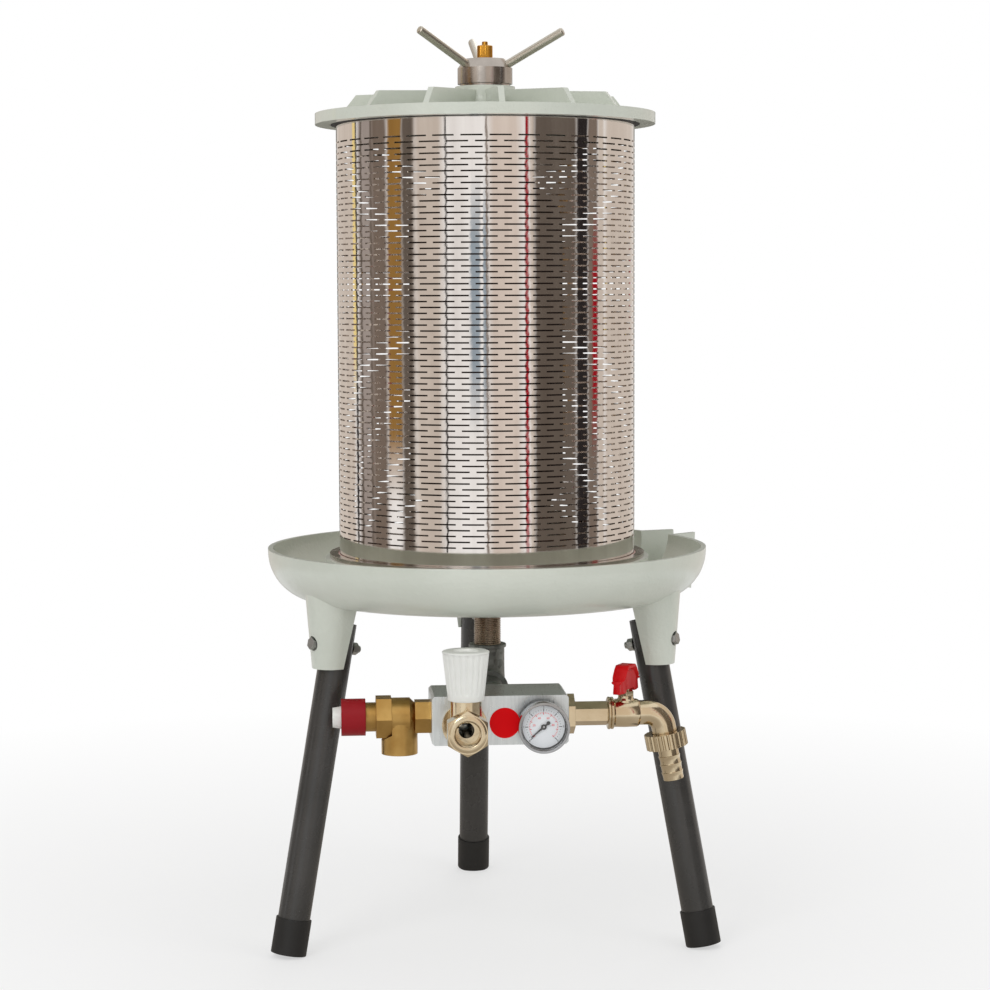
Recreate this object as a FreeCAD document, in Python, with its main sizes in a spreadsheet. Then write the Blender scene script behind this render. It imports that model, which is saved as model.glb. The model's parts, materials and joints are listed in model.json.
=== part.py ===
import FreeCAD, Part
import math
import os

import Sketcher
from FreeCAD import Placement, Rotation, Vector

# Water pressure fruit press: a slotted steel basket on a cast tray with three legs. Tap water
# enters through the valve block, rises in the central pipe and swells a rubber membrane, which
# presses the fruit outwards against the basket. Millimetres, +Z up, the origin on the ground
# under the central pipe, the valve block at the front (-Y).

SIZES = {
    # fits shared by many pieces
    "running_gap": 0.06,
    "thread_gap": 0.1,
    "seat_gap": 0.5,
    "slip_gap": 2.0,
    # stand
    "leg_foot_radius": 284.8,
    "leg_tilt": 11.07,
    "leg_tube_radius": 19.0,
    "leg_tube_wall": 2.0,
    "leg_top_below_tray": 18.0,
    "rear_leg_azimuth": 90.0,
    "cap_wall": 2.0,
    "cap_floor": 5.0,
    "cap_length": 42.0,
    "cap_level_cut": 1.0,
    "leg_bolt_height": 361.0,
    "leg_bolt_radius": 4.0,
    "leg_bolt_hole_gap": 0.5,
    "leg_bolt_head_flats": 13.0,
    "leg_bolt_head_height": 5.3,
    "leg_nut_height": 6.5,
    "leg_bolt_end": 4.0,
    "leg_washer_radius": 8.0,
    "leg_washer_thickness": 1.6,
    "spot_face_distance": 30.0,
    # leg bosses under the tray
    "boss_bottom_below_tray": 70.0,
    "boss_bottom_width": 45.0,
    "boss_bottom_reach": 245.0,
    "boss_root_above_tray": 23.0,
    "boss_root_width": 68.0,
    "boss_root_reach": 251.8,
    # tray
    "tray_height": 407.0,
    "tray_wall": 6.0,
    "rim_radius": 267.0,
    "rim_rise": 61.0,
    "bowl_radius": 57.0,
    "plateau_radius": 197.0,
    "plateau_rise": 49.0,
    "plateau_thickness": 7.0,
    "tray_hub_radius": 45.0,
    "tray_bore_gap": 0.4,
    "tray_rib_width": 6.0,
    "tray_rib_drop": 3.0,
    "spout_azimuth": -60.0,
    "spout_root": 240.0,
    "spout_reach": 306.0,
    "spout_root_width": 66.0,
    "spout_root_floor_width": 44.0,
    "spout_lip_width": 40.0,
    "spout_lip_floor_width": 24.0,
    "spout_wall": 5.0,
    "spout_lip_drop": 13.0,
    # seat ring and seals under the basket
    "seat_ring_width": 10.0,
    "seat_ring_height": 5.0,
    "base_seal_height": 4.0,
    "base_seal_width": 16.0,
    # basket
    "basket_radius": 180.0,
    "basket_wall": 2.0,
    "basket_height": 517.0,
    "slot_length": 25.5,
    "slot_width": 1.5,
    "slots_per_row": 34,
    "slot_first_row": 56.75,
    "slot_row_step": 67.5,
    "slot_rows": 7,
    # lid
    "lid_flange_radius": 205.0,
    "lid_flange_lift": 0.5,
    "lid_flange_thickness": 13.2,
    "lid_plate_thickness": 10.0,
    "lid_spigot_drop": 5.5,
    "lid_spigot_width": 8.0,
    "lid_seal_height": 4.5,
    "lid_seal_inner": 4.0,
    "lid_seal_outer": 6.0,
    "lid_bore_gap": 0.6,
    "lid_hub_radius": 36.0,
    "lid_hub_height": 45.5,
    "lid_skirt_radius": 58.0,
    "lid_rib_count": 12,
    "lid_rib_azimuth": 2.5,
    "lid_rib_width": 7.0,
    "lid_rib_height_outer": 21.5,
    "lid_rib_height_inner": 27.0,
    "lid_rib_peak_radius": 156.0,
    "lid_rib_end_radius": 173.0,
    # press nut and its rods
    "nut_radius": 33.0,
    "nut_side_height": 19.0,
    "nut_top_radius": 25.0,
    "nut_height": 30.0,
    "thrust_washer_radius": 30.0,
    "thrust_washer_height": 3.0,
    "rod_azimuth": 95.0,
    "rod_count": 3,
    "rod_radius": 5.0,
    "rod_elevation": 27.5,
    "rod_start_radius": 27.0,
    "rod_start_rise": 22.0,
    "rod_embed": 6.0,
    "rod_length": 82.0,
    "rod_end_chamfer": 1.2,
    # central pipe
    "pipe_radius": 16.62,
    "pipe_wall": 3.0,
    "pipe_bottom": 331.0,
    "pipe_top_below_nut": 2.0,
    "water_hole_radius": 4.0,
    "water_hole_first": 560.0,
    "water_hole_step": 140.0,
    "lock_nut_flats": 50.0,
    "lock_nut_height": 16.0,
    "lock_washer_radius": 30.0,
    "lock_washer_height": 3.0,
    # membrane and its clamps
    "membrane_radius": 60.0,
    "membrane_wall": 4.0,
    "membrane_shoulder": 24.0,
    "spool_radius": 48.0,
    "spool_flange_radius": 54.0,
    "spool_flange_height": 3.0,
    "spool_height": 24.0,
    "spool_gasket_height": 2.0,
    "top_spool_below_lid": 24.0,
    "clamp_thickness": 1.6,
    "clamp_width": 12.0,
    "clamp_inset": 6.0,
    "top_nut_flats": 46.0,
    "top_nut_height": 10.0,
    # air vent in the pipe end
    "vent_plug_length": 20.0,
    "vent_flange_radius": 15.5,
    "vent_flange_height": 3.0,
    "vent_stub_radius": 6.0,
    "vent_stub_height": 9.0,
    "vent_hole_radius": 1.5,
    "vent_cap_radius": 9.3,
    "vent_cap_height": 13.0,
    "vent_tip_radius": 3.75,
    "vent_tip_height": 7.0,
    # elbow and nipple
    "elbow_radius": 20.5,
    "elbow_bore_radius": 14.0,
    "elbow_collar_radius": 23.0,
    "elbow_collar_height": 11.0,
    "elbow_socket": 16.0,
    "branch_height": 296.0,
    "branch_reach": 38.0,
    "branch_socket": 13.0,
    "bend_radius": 24.0,
    "nipple_reducer": 82.0,
    "nipple_small_radius": 13.2,
    "nipple_bore_radius": 10.0,
    # valve block
    "block_half_length": 78.7,
    "block_rear": 122.0,
    "block_depth": 84.0,
    "block_height": 57.0,
    "block_edge_chamfer": 3.0,
    "port_line_depth": 168.0,
    "port_height": 287.0,
    "front_port_height": 283.0,
    "gallery_radius": 11.0,
    "port_depth": 14.0,
    "rear_port_depth": 16.0,
    # safety valve on the block's left end
    "relief_thread_radius": 16.62,
    "relief_hex_flats": 36.2,
    "relief_hex_end": 97.0,
    "relief_body_radius": 22.0,
    "relief_body_end": 124.0,
    "relief_seat_radius": 10.0,
    "relief_chamber_radius": 15.5,
    "relief_seat_place": 105.0,
    "relief_outlet_place": 114.7,
    "relief_outlet_radius": 21.0,
    "relief_outlet_bore": 15.15,
    "relief_outlet_socket": 14.0,
    "relief_outlet_way": 7.5,
    "relief_outlet_bottom": 244.0,
    "relief_bonnet_flats": 46.0,
    "relief_bonnet_end": 142.0,
    "relief_neck_radius": 16.9,
    "relief_neck_end": 154.0,
    "relief_post_radius": 8.0,
    "relief_post_end": 170.0,
    "relief_spring_bore": 12.5,
    "relief_stem_radius": 3.0,
    "relief_disc_radius": 13.0,
    "relief_disc_height": 4.0,
    "relief_cap_radius": 21.5,
    "relief_cap_end": 182.0,
    "relief_tip_root_radius": 13.0,
    "relief_tip_radius": 11.4,
    "relief_tip_end": 192.0,
    "relief_spring_radius": 11.0,
    "relief_spring_wire": 2.4,
    # inlet valve on the block's front
    "inlet_place": -41.6,
    "inlet_thread_radius": 13.2,
    "inlet_ring_radius": 26.0,
    "inlet_ring_end": 214.0,
    "inlet_body_radius": 18.5,
    "inlet_hex_start": 250.0,
    "inlet_hex_flats": 41.0,
    "inlet_end": 272.0,
    "inlet_port_bore": 13.2,
    "inlet_port_depth": 16.0,
    "inlet_mouth_chamfer": 1.8,
    "inlet_hex_chamfer": 2.6,
    "inlet_way_radius": 9.0,
    "inlet_spindle_place": 238.0,
    "inlet_neck_radius": 17.9,
    "inlet_neck_top": 316.0,
    "inlet_neck_bore": 12.0,
    "inlet_neck_floor": 296.5,
    "bonnet_insert_height": 9.0,
    "spindle_radius": 4.0,
    "spindle_disc_radius": 10.0,
    "spindle_disc_height": 4.0,
    "spindle_disc_lift": 1.5,
    "knob_bottom_radius": 20.5,
    "knob_top_radius": 26.9,
    "knob_height": 54.0,
    "knob_lift": 0.5,
    "knob_band": 6.0,
    "knob_recess_radius": 15.0,
    "knob_recess_depth": 3.0,
    "knob_socket_depth": 40.0,
    "knob_flute_count": 20,
    "knob_flute_radius": 2.4,
    # pressure gauge
    "gauge_place": 47.5,
    "gauge_thread_radius": 6.58,
    "gauge_hex_flats": 14.0,
    "gauge_hex_end": 214.0,
    "gauge_case_radius": 27.3,
    "gauge_case_end": 236.0,
    "gauge_case_floor": 3.0,
    "gauge_bezel_radius": 29.3,
    "gauge_bezel_start": 229.0,
    "gauge_bezel_end": 240.0,
    "gauge_window_radius": 26.3,
    "gauge_dial_thickness": 1.0,
    "gauge_pin_radius": 1.2,
    "gauge_needle_thickness": 0.8,
    "gauge_needle_lift": 1.2,
    "gauge_needle_length": 19.5,
    "gauge_needle_tail": 9.7,
    "gauge_needle_width": 1.6,
    "gauge_needle_hub": 3.0,
    "gauge_needle_azimuth": 220.0,
    "gauge_lens_thickness": 1.5,
    # inspection disc on the block
    "seal_disc_place": 5.0,
    "seal_disc_height": 284.0,
    "seal_disc_radius": 17.6,
    "seal_disc_thickness": 0.8,
    # drain tap on the block's right end
    "tap_seal_radius": 19.5,
    "tap_seal_end": 80.7,
    "tap_lock_nut_flats": 41.0,
    "tap_lock_nut_end": 88.7,
    "tap_thread_radius": 13.2,
    "tap_bore_radius": 9.0,
    "tap_hex_flats": 24.6,
    "tap_hex_end": 127.0,
    "tap_spigot_radius": 12.3,
    "tap_spigot_length": 5.0,
    "tap_collar_radius": 19.1,
    "tap_collar_length": 8.0,
    "tap_body_start": 127.6,
    "tap_body_radius": 16.6,
    "tap_body_end": 165.0,
    "tap_stem_place": 149.5,
    "tap_ball_radius": 12.3,
    "tap_ball_bore": 8.0,
    "tap_seat_offset": 9.9,
    "tap_seat_thickness": 3.6,
    "tap_stem_radius": 4.0,
    "tap_neck_radius": 9.0,
    "tap_neck_top": 308.0,
    "tap_gland_flats": 17.0,
    "tap_gland_height": 5.0,
    "handle_lift": 0.5,
    "handle_hub_radius": 8.5,
    "handle_hub_height": 24.0,
    "handle_rise": 31.0,
    "handle_half_length": 29.0,
    "handle_width": 12.0,
    "handle_azimuth": 60.0,
    "handle_screw_radius": 5.5,
    "handle_screw_height": 3.0,
    "tap_elbow_radius": 14.4,
    "tap_elbow_bore": 9.0,
    "tap_elbow_corner": 190.8,
    "tap_outlet_tilt": 11.0,
    "tap_bend_radius": 20.0,
    "tap_elbow_end": 33.0,
    "union_start": 23.6,
    "union_end": 41.6,
    "union_radius": 24.5,
    "union_thread_radius": 20.9,
    "union_knurl_count": 24,
    "union_knurl_radius": 1.8,
    "hose_collar_radius": 20.4,
    "hose_collar_height": 4.0,
    "hose_gasket_height": 1.5,
    "hose_tail_radius": 12.0,
    "hose_barb_radius": 12.9,
    "hose_barb_count": 3,
    "hose_tail_end": 80.4,
    "hose_bore_radius": 9.0,
}

doc = FreeCAD.newDocument("fruit_press")
sheet = doc.addObject("Spreadsheet::Sheet", "Sizes")
for row, (alias, number) in enumerate(SIZES.items(), start=1):
    sheet.set(f"A{row}", alias)
    sheet.set(f"B{row}", str(number))
    sheet.setAlias(f"B{row}", alias)
doc.recompute()


class Measure:
    """A number kept together with the sheet expression that it comes from."""

    def __init__(self, value, text):
        self.value = float(value)
        self.text = text

    def __add__(self, other):
        other = measure(other)
        return Measure(self.value + other.value, f"({self.text} + {other.text})")

    def __sub__(self, other):
        other = measure(other)
        return Measure(self.value - other.value, f"({self.text} - {other.text})")

    def __mul__(self, other):
        other = measure(other)
        return Measure(self.value * other.value, f"({self.text} * {other.text})")

    def __truediv__(self, other):
        other = measure(other)
        return Measure(self.value / other.value, f"({self.text} / {other.text})")

    def __radd__(self, other):
        return measure(other) + self

    def __rsub__(self, other):
        return measure(other) - self

    def __rmul__(self, other):
        return measure(other) * self

    def __neg__(self):
        return Measure(-self.value, f"(-1 * {self.text})")


def measure(number):
    """Turn a plain number into a Measure, and leave a Measure as it is."""
    return number if isinstance(number, Measure) else Measure(number, repr(float(number)))


def cosine(angle):
    return Measure(math.cos(math.radians(angle.value)), f"cos({angle.text} * 1 deg)")


def sine(angle):
    return Measure(math.sin(math.radians(angle.value)), f"sin({angle.text} * 1 deg)")


def tangent(angle):
    return sine(angle) / cosine(angle)


class Sizes:
    """The sheet's sizes as attributes, each a Measure."""


size = Sizes()
for alias in SIZES:
    setattr(size, alias, Measure(sheet.get(alias), f"Sizes.{alias}"))

sub_parts = []


def new_body(label):
    """A body that becomes one node of the press."""
    body = doc.addObject("PartDesign::Body", label)
    body.Label = label
    sub_parts.append(body)
    return body


def origin_feature(body, role):
    for feature in body.Origin.OriginFeatures:
        if feature.Role == role:
            return feature
    raise ValueError(role)


def bind_placement(owner, name, at, turn):
    """Bind the offset of a placement to the sheet; turn is (axis letter, angle in degrees)."""
    axes = {"x": Vector(1, 0, 0), "y": Vector(0, 1, 0), "z": Vector(0, 0, 1)}
    rotation = Rotation(axes[turn[0]], measure(turn[1]).value) if turn else Rotation()
    places = [measure(part) for part in at]
    setattr(owner, name, Placement(Vector(*[place.value for place in places]), rotation))
    for letter, place in zip("xyz", places):
        if "Sizes" in place.text:
            owner.setExpression(f"{name}.Base.{letter}", place.text)


def new_sketch(body, role, at=(0, 0, 0), turn=None):
    """An empty sketch on one of the body's own origin planes, moved and turned on that plane."""
    sketch = body.newObject("Sketcher::SketchObject", "Sketch")
    sketch.AttachmentSupport = [(origin_feature(body, role), "")]
    sketch.MapMode = "FlatFace"
    bind_placement(sketch, "AttachmentOffset", at, turn)
    return sketch


def tie(sketch, kind, *where, to):
    """Add a dimension and bind it to the sheet."""
    to = measure(to)
    index = sketch.addConstraint(Sketcher.Constraint(kind, *where, to.value))
    if "Sizes" in to.text:
        sketch.setExpression(f"Constraints[{index}]", to.text)


def draw_outline(sketch, corners):
    """A closed outline. A corner is (x, y) or (x, y, radius): the radius bends the next side,
    positive where the side turns to the left as it is walked, negative to the right."""
    corners = [tuple(measure(part) for part in corner) for corner in corners]
    ends = []
    for index, corner in enumerate(corners):
        following = corners[(index + 1) % len(corners)]
        start = Vector(corner[0].value, corner[1].value, 0)
        stop = Vector(following[0].value, following[1].value, 0)
        if len(corner) == 2:
            side = sketch.addGeometry(Part.LineSegment(start, stop), False)
            ends.append((side, 1, 2))
            continue
        radius = abs(corner[2].value)
        leftward = corner[2].value > 0
        chord = stop - start
        height = math.sqrt(max(radius ** 2 - (chord.Length / 2) ** 2, 0))
        normal = Vector(-chord.y, chord.x, 0).normalize()
        centre = (start + stop) / 2 + normal * (height if leftward else -height)
        first, last = (start, stop) if leftward else (stop, start)
        angles = [math.atan2(point.y - centre.y, point.x - centre.x) for point in (first, last)]
        if angles[1] < angles[0]:
            angles[1] += 2 * math.pi
        circle = Part.Circle(centre, Vector(0, 0, 1), radius)
        side = sketch.addGeometry(Part.ArcOfCircle(circle, *angles), False)
        ends.append((side, 1, 2) if leftward else (side, 2, 1))
        tie(sketch, "Radius", side, to=corner[2] if leftward else -corner[2])
    for index, (side, _, stop_end) in enumerate(ends):
        next_side, next_start, _ = ends[(index + 1) % len(ends)]
        sketch.addConstraint(Sketcher.Constraint("Coincident", side, stop_end, next_side, next_start))
    for corner, (side, start_end, _) in zip(corners, ends):
        tie(sketch, "DistanceX", -1, 1, side, start_end, to=corner[0])
        tie(sketch, "DistanceY", -1, 1, side, start_end, to=corner[1])


def draw_circle(sketch, radius, x=0, y=0):
    x, y, radius = measure(x), measure(y), measure(radius)
    circle = Part.Circle(Vector(x.value, y.value, 0), Vector(0, 0, 1), radius.value)
    side = sketch.addGeometry(circle, False)
    tie(sketch, "Radius", side, to=radius)
    tie(sketch, "DistanceX", -1, 1, side, 3, to=x)
    tie(sketch, "DistanceY", -1, 1, side, 3, to=y)


def hexagon(flats):
    """Corners of a hexagon with a corner up, given its width across flats."""
    corner = flats / math.sqrt(3)
    return [(flats / 2, -corner / 2), (flats / 2, corner / 2), (measure(0), corner),
            (-flats / 2, corner / 2), (-flats / 2, -corner / 2), (measure(0), -corner)]


def feature(body, kind, **settings):
    """A feature whose numbers are bound to the sheet; it becomes the body's tip."""
    made = body.newObject(f"PartDesign::{kind}", kind)
    for name, setting in settings.items():
        if isinstance(setting, Measure):
            setattr(made, name, setting.value)
            if "Sizes" in setting.text:
                made.setExpression(name, setting.text)
        else:
            setattr(made, name, setting)
    body.Tip = made
    return made


def revolve(body, corners, kind="Revolution", role="XZ_Plane", axis="V_Axis", at=(0, 0, 0), turn=None):
    """Turn an outline a full circle about an axis of its sketch."""
    sketch = new_sketch(body, role, at, turn)
    draw_outline(sketch, corners)
    return feature(body, kind, Profile=sketch, ReferenceAxis=(sketch, [axis]), Angle=360)


def extrude(body, draw, length, kind="Pad", role="XY_Plane", at=(0, 0, 0), turn=None, both=False,
            back=False):
    """Pad or pocket a sketch; draw is a list of corners or a list of circles (radius, x, y)."""
    sketch = new_sketch(body, role, at, turn)
    if len(draw[0]) == 3 and isinstance(draw, tuple):
        for circle in draw:
            draw_circle(sketch, *circle)
    else:
        draw_outline(sketch, draw)
    side = "Symmetric" if both else "One side"
    return feature(body, kind, Profile=sketch, Length=measure(length), SideType=side, Reversed=back)


def loft(body, sections, kind="AdditiveLoft"):
    """Join sketches with straight walls; a section is (role, at, turn, corners)."""
    sketches = []
    for role, at, turn, corners in sections:
        sketch = new_sketch(body, role, at, turn)
        draw_outline(sketch, corners)
        sketches.append(sketch)
    return feature(body, kind, Profile=sketches[0], Sections=sketches[1:], Ruled=True)


def polar(body, originals, count):
    """Repeat features round the body's own Z axis."""
    return feature(body, "PolarPattern", Originals=originals, Angle=360,
                   Axis=(origin_feature(body, "Z_Axis"), [""]), Occurrences=int(round(count.value)))


def place(body, at=(0, 0, 0), turns=()):
    """Put a body in the press: turned about its own axes in the order given, then moved."""
    axes = {"x": Vector(1, 0, 0), "y": Vector(0, 1, 0), "z": Vector(0, 0, 1)}
    rotation = Rotation()
    for letter, angle in turns:
        rotation = rotation.multiply(Rotation(axes[letter], measure(angle).value))
    places = [measure(part) for part in at]
    body.Placement = Placement(Vector(*[spot.value for spot in places]), rotation)
    for letter, spot in zip("xyz", places):
        if "Sizes" in spot.text:
            body.setExpression(f"Placement.Base.{letter}", spot.text)


def ring(label, inner, outer, bottom, top):
    """A flat ring or plain tube about the press axis."""
    body = new_body(label)
    revolve(body, [(inner, bottom), (outer, bottom), (outer, top), (inner, top)])
    return body


def hex_ring(label, flats, bore, bottom, height):
    """A hexagon nut without its thread."""
    body = new_body(label)
    extrude(body, hexagon(flats), height, at=(0, 0, bottom))
    extrude(body, ((bore, 0, 0),), height, kind="Pocket", at=(0, 0, bottom), back=True)
    return body


# Levels shared by the stack
s = size
tray_top = s.tray_height + s.plateau_rise
rim_top = s.tray_height + s.rim_rise
basket_foot = tray_top + s.base_seal_height
basket_top = basket_foot + s.basket_height
flange_bottom = basket_top + s.lid_flange_lift
flange_top = flange_bottom + s.lid_flange_thickness
plate_bottom = flange_top - s.lid_plate_thickness
hub_top = flange_bottom + s.lid_hub_height
nut_bottom = hub_top + s.thrust_washer_height
nut_top = nut_bottom + s.nut_height
pipe_top = nut_top - s.pipe_top_below_nut
pipe_inner = s.pipe_radius - s.pipe_wall
basket_inner = s.basket_radius - s.basket_wall

# Places along a leg, measured from the ground along the tube axis
leg_cos = cosine(s.leg_tilt)
leg_sin = sine(s.leg_tilt)
leg_top = (s.tray_height - s.leg_top_below_tray) / leg_cos
cap_radius = s.leg_tube_radius + s.cap_wall
cap_start = (cap_radius * leg_sin - s.cap_level_cut) / leg_cos
bolt_place = s.leg_bolt_height / leg_cos
bolt_hole = s.leg_bolt_radius + s.leg_bolt_hole_gap
bolt_x = s.leg_foot_radius - bolt_place * leg_sin
tilt_back = -s.leg_tilt


def leg_axis_radius(height):
    """Distance of a leg's axis from the press axis at a height."""
    return s.leg_foot_radius - height * tangent(s.leg_tilt)


def bolt_sketch(distance):
    """Sketch place square to a leg bolt, at a distance out from the tube's axis."""
    return {"role": "YZ_Plane", "turn": ("x", tilt_back),
            "at": (0, s.leg_bolt_height + distance * leg_sin, bolt_x + distance * leg_cos)}


# Tray: one casting with a raised plateau for the basket, a juice trough, a spout and leg bosses
def half_sleeve(height, width, reach):
    """Section of a leg boss: flat towards the press, round outside."""
    inner = leg_axis_radius(height)
    middle = reach - width / 2
    return [(inner, -width / 2), (middle, -width / 2, width / 2), (reach, 0, width / 2),
            (middle, width / 2),
            (inner, width / 2)]


def channel(distance, top, top_width, floor, floor_width):
    """Section of the spout, square to its run at a distance from the press axis."""
    azimuth = s.spout_azimuth
    at = (distance * sine(azimuth), 0, distance * cosine(azimuth))
    corners = [(-floor_width / 2, floor), (floor_width / 2, floor), (top_width / 2, top),
               (-top_width / 2, top)]
    return ("YZ_Plane", at, ("y", azimuth), corners)


bowl_centre = s.rim_radius - s.bowl_radius
bowl_level = s.tray_height + s.bowl_radius
trough_radius = s.rim_radius - s.tray_wall
trough_bend = s.bowl_radius - s.tray_wall
trough_floor = s.tray_height + s.tray_wall
tray_bore = s.pipe_radius + s.tray_bore_gap
plateau_under = tray_top - s.plateau_thickness
plateau_inner = s.plateau_radius - s.plateau_thickness

tray = new_body("tray")
revolve(tray, [(tray_bore, s.tray_height), (s.tray_hub_radius, s.tray_height),
               (s.tray_hub_radius, plateau_under), (plateau_inner, plateau_under),
               (plateau_inner, s.tray_height), (bowl_centre, s.tray_height, s.bowl_radius),
               (s.rim_radius, bowl_level), (s.rim_radius, rim_top), (s.plateau_radius, rim_top),
               (s.plateau_radius, tray_top), (tray_bore, tray_top)])
boss_bottom = s.tray_height - s.boss_bottom_below_tray
boss_root = s.tray_height + s.boss_root_above_tray
boss = loft(tray, [("XY_Plane", (0, 0, boss_bottom), None,
                    half_sleeve(boss_bottom, s.boss_bottom_width, s.boss_bottom_reach)),
                   ("XY_Plane", (0, 0, boss_root), None,
                    half_sleeve(boss_root, s.boss_root_width, s.boss_root_reach))])
leg_socket = extrude(tray, ((s.leg_tube_radius + s.thread_gap, 0, 0),), leg_top, kind="Pocket",
                     at=(s.leg_foot_radius, 0, 0), turn=("y", tilt_back), back=True)
bolt_through = extrude(tray, ((bolt_hole, 0, 0),), s.spot_face_distance, kind="Pocket", back=True,
                       **bolt_sketch(measure(0)))
spot_face = extrude(tray, ((s.leg_washer_radius + s.seat_gap, 0, 0),), s.spot_face_distance,
                    kind="Pocket",
                    back=True, **bolt_sketch(s.spot_face_distance))
polar(tray, [boss, leg_socket, bolt_through, spot_face], measure(3))
rib = extrude(tray, [(s.tray_hub_radius - s.tray_wall, s.tray_height + s.tray_rib_drop),
                     (plateau_inner + s.tray_rib_drop, s.tray_height + s.tray_rib_drop),
                     (plateau_inner + s.tray_rib_drop, plateau_under + s.tray_rib_drop),
                     (s.tray_hub_radius - s.tray_wall, plateau_under + s.tray_rib_drop)],
              s.tray_rib_width, role="XZ_Plane", both=True)
polar(tray, [rib], measure(6))
spout_skin = s.spout_wall * 2
loft(tray, [channel(s.spout_root, rim_top, s.spout_root_width + spout_skin,
                    trough_floor - s.spout_wall, s.spout_root_floor_width + spout_skin),
            channel(s.spout_reach, rim_top, s.spout_lip_width + spout_skin,
                    trough_floor - s.spout_lip_drop - s.spout_wall,
                    s.spout_lip_floor_width + spout_skin)])
revolve(tray, [(s.plateau_radius, trough_floor), (bowl_centre, trough_floor, trough_bend),
               (trough_radius, bowl_level), (trough_radius, rim_top + s.tray_wall),
               (s.plateau_radius, rim_top + s.tray_wall)], kind="Groove")
loft(tray, [channel(s.spout_root - s.tray_wall, rim_top + s.seat_gap, s.spout_root_width,
                    trough_floor, s.spout_root_floor_width),
            channel(s.spout_reach + s.seat_gap, rim_top + s.seat_gap, s.spout_lip_width,
                    trough_floor - s.spout_lip_drop, s.spout_lip_floor_width)], kind="SubtractiveLoft")
place(tray, turns=[("z", s.rear_leg_azimuth)])

# Seat of the basket
seat_inner = s.basket_radius + s.slip_gap
ring("seat_ring", seat_inner, seat_inner + s.seat_ring_width, tray_top, tray_top + s.seat_ring_height)
ring("base_seal", seat_inner - s.seat_gap - s.base_seal_width, seat_inner - s.seat_gap, tray_top,
     basket_foot)

# Legs with their caps and bolts
for label, azimuth in (("leg_rear", 0), ("leg_left", 120), ("leg_right", 240)):
    leg = new_body(label)
    tube_start = cap_start + s.cap_floor
    extrude(leg, ((s.leg_tube_radius, 0, 0), (s.leg_tube_radius - s.leg_tube_wall, 0, 0)),
            leg_top - tube_start, at=(0, 0, tube_start))
    extrude(leg, ((bolt_hole, 0, bolt_place),), s.leg_tube_radius * 4, kind="Pocket", role="YZ_Plane",
            both=True)
    turn = s.rear_leg_azimuth + azimuth
    place(leg, at=(s.leg_foot_radius * cosine(turn), s.leg_foot_radius * sine(turn), 0),
          turns=[("z", turn), ("y", tilt_back)])

caps = new_body("leg_end_caps")
cap_foot = {"at": (s.leg_foot_radius - cap_start * leg_sin, 0, cap_start * leg_cos),
            "turn": ("y", tilt_back)}
cap_seat = cap_start + s.cap_floor
cap_hollow = {"at": (s.leg_foot_radius - cap_seat * leg_sin, 0, cap_seat * leg_cos),
              "turn": ("y", tilt_back)}
cap_solid = extrude(caps, ((cap_radius, 0, 0),), s.cap_length, **cap_foot)
cap_bore = extrude(caps, ((s.leg_tube_radius + s.thread_gap, 0, 0),), s.cap_length, kind="Pocket",
                   back=True,
                   **cap_hollow)
cap_level = extrude(caps, [(s.leg_foot_radius - cap_radius * 2, 0),
                           (s.leg_foot_radius - cap_radius * 2, -cap_radius),
                           (s.leg_foot_radius + cap_radius * 2, -cap_radius),
                           (s.leg_foot_radius + cap_radius * 2, 0)],
                    cap_radius * 3, kind="Pocket", role="XZ_Plane", both=True)
polar(caps, [cap_solid, cap_bore, cap_level], measure(3))
place(caps, turns=[("z", s.rear_leg_azimuth)])

inner_washer = s.leg_tube_radius + s.thread_gap
nut_face = inner_washer + s.leg_washer_thickness
nut_end = nut_face + s.leg_nut_height
head_face = s.spot_face_distance + s.leg_washer_thickness

bolts = new_body("leg_bolts")
bolt_head = extrude(bolts, hexagon(s.leg_bolt_head_flats), s.leg_bolt_head_height,
                    **bolt_sketch(head_face))
bolt_shank = extrude(bolts, ((s.leg_bolt_radius, 0, 0),), head_face + nut_end + s.leg_bolt_end, back=True,
                     **bolt_sketch(head_face))
polar(bolts, [bolt_head, bolt_shank], measure(3))
place(bolts, turns=[("z", s.rear_leg_azimuth)])

washers = new_body("leg_washers")
outer_disc = extrude(washers, ((s.leg_washer_radius, 0, 0), (bolt_hole, 0, 0)), s.leg_washer_thickness,
                     **bolt_sketch(s.spot_face_distance))
inner_disc = extrude(washers, ((s.leg_washer_radius, 0, 0), (bolt_hole, 0, 0)), s.leg_washer_thickness,
                     back=True, **bolt_sketch(-inner_washer))
polar(washers, [outer_disc, inner_disc], measure(3))
place(washers, turns=[("z", s.rear_leg_azimuth)])

leg_nuts = new_body("leg_nuts")
nut_block = extrude(leg_nuts, hexagon(s.leg_bolt_head_flats), s.leg_nut_height, back=True,
                    **bolt_sketch(-nut_face))
nut_bore = extrude(leg_nuts, ((s.leg_bolt_radius + s.running_gap, 0, 0),), s.leg_nut_height,
                   kind="Pocket",
                   **bolt_sketch(-nut_face))
polar(leg_nuts, [nut_block, nut_bore], measure(3))
place(leg_nuts, turns=[("z", s.rear_leg_azimuth)])

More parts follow.
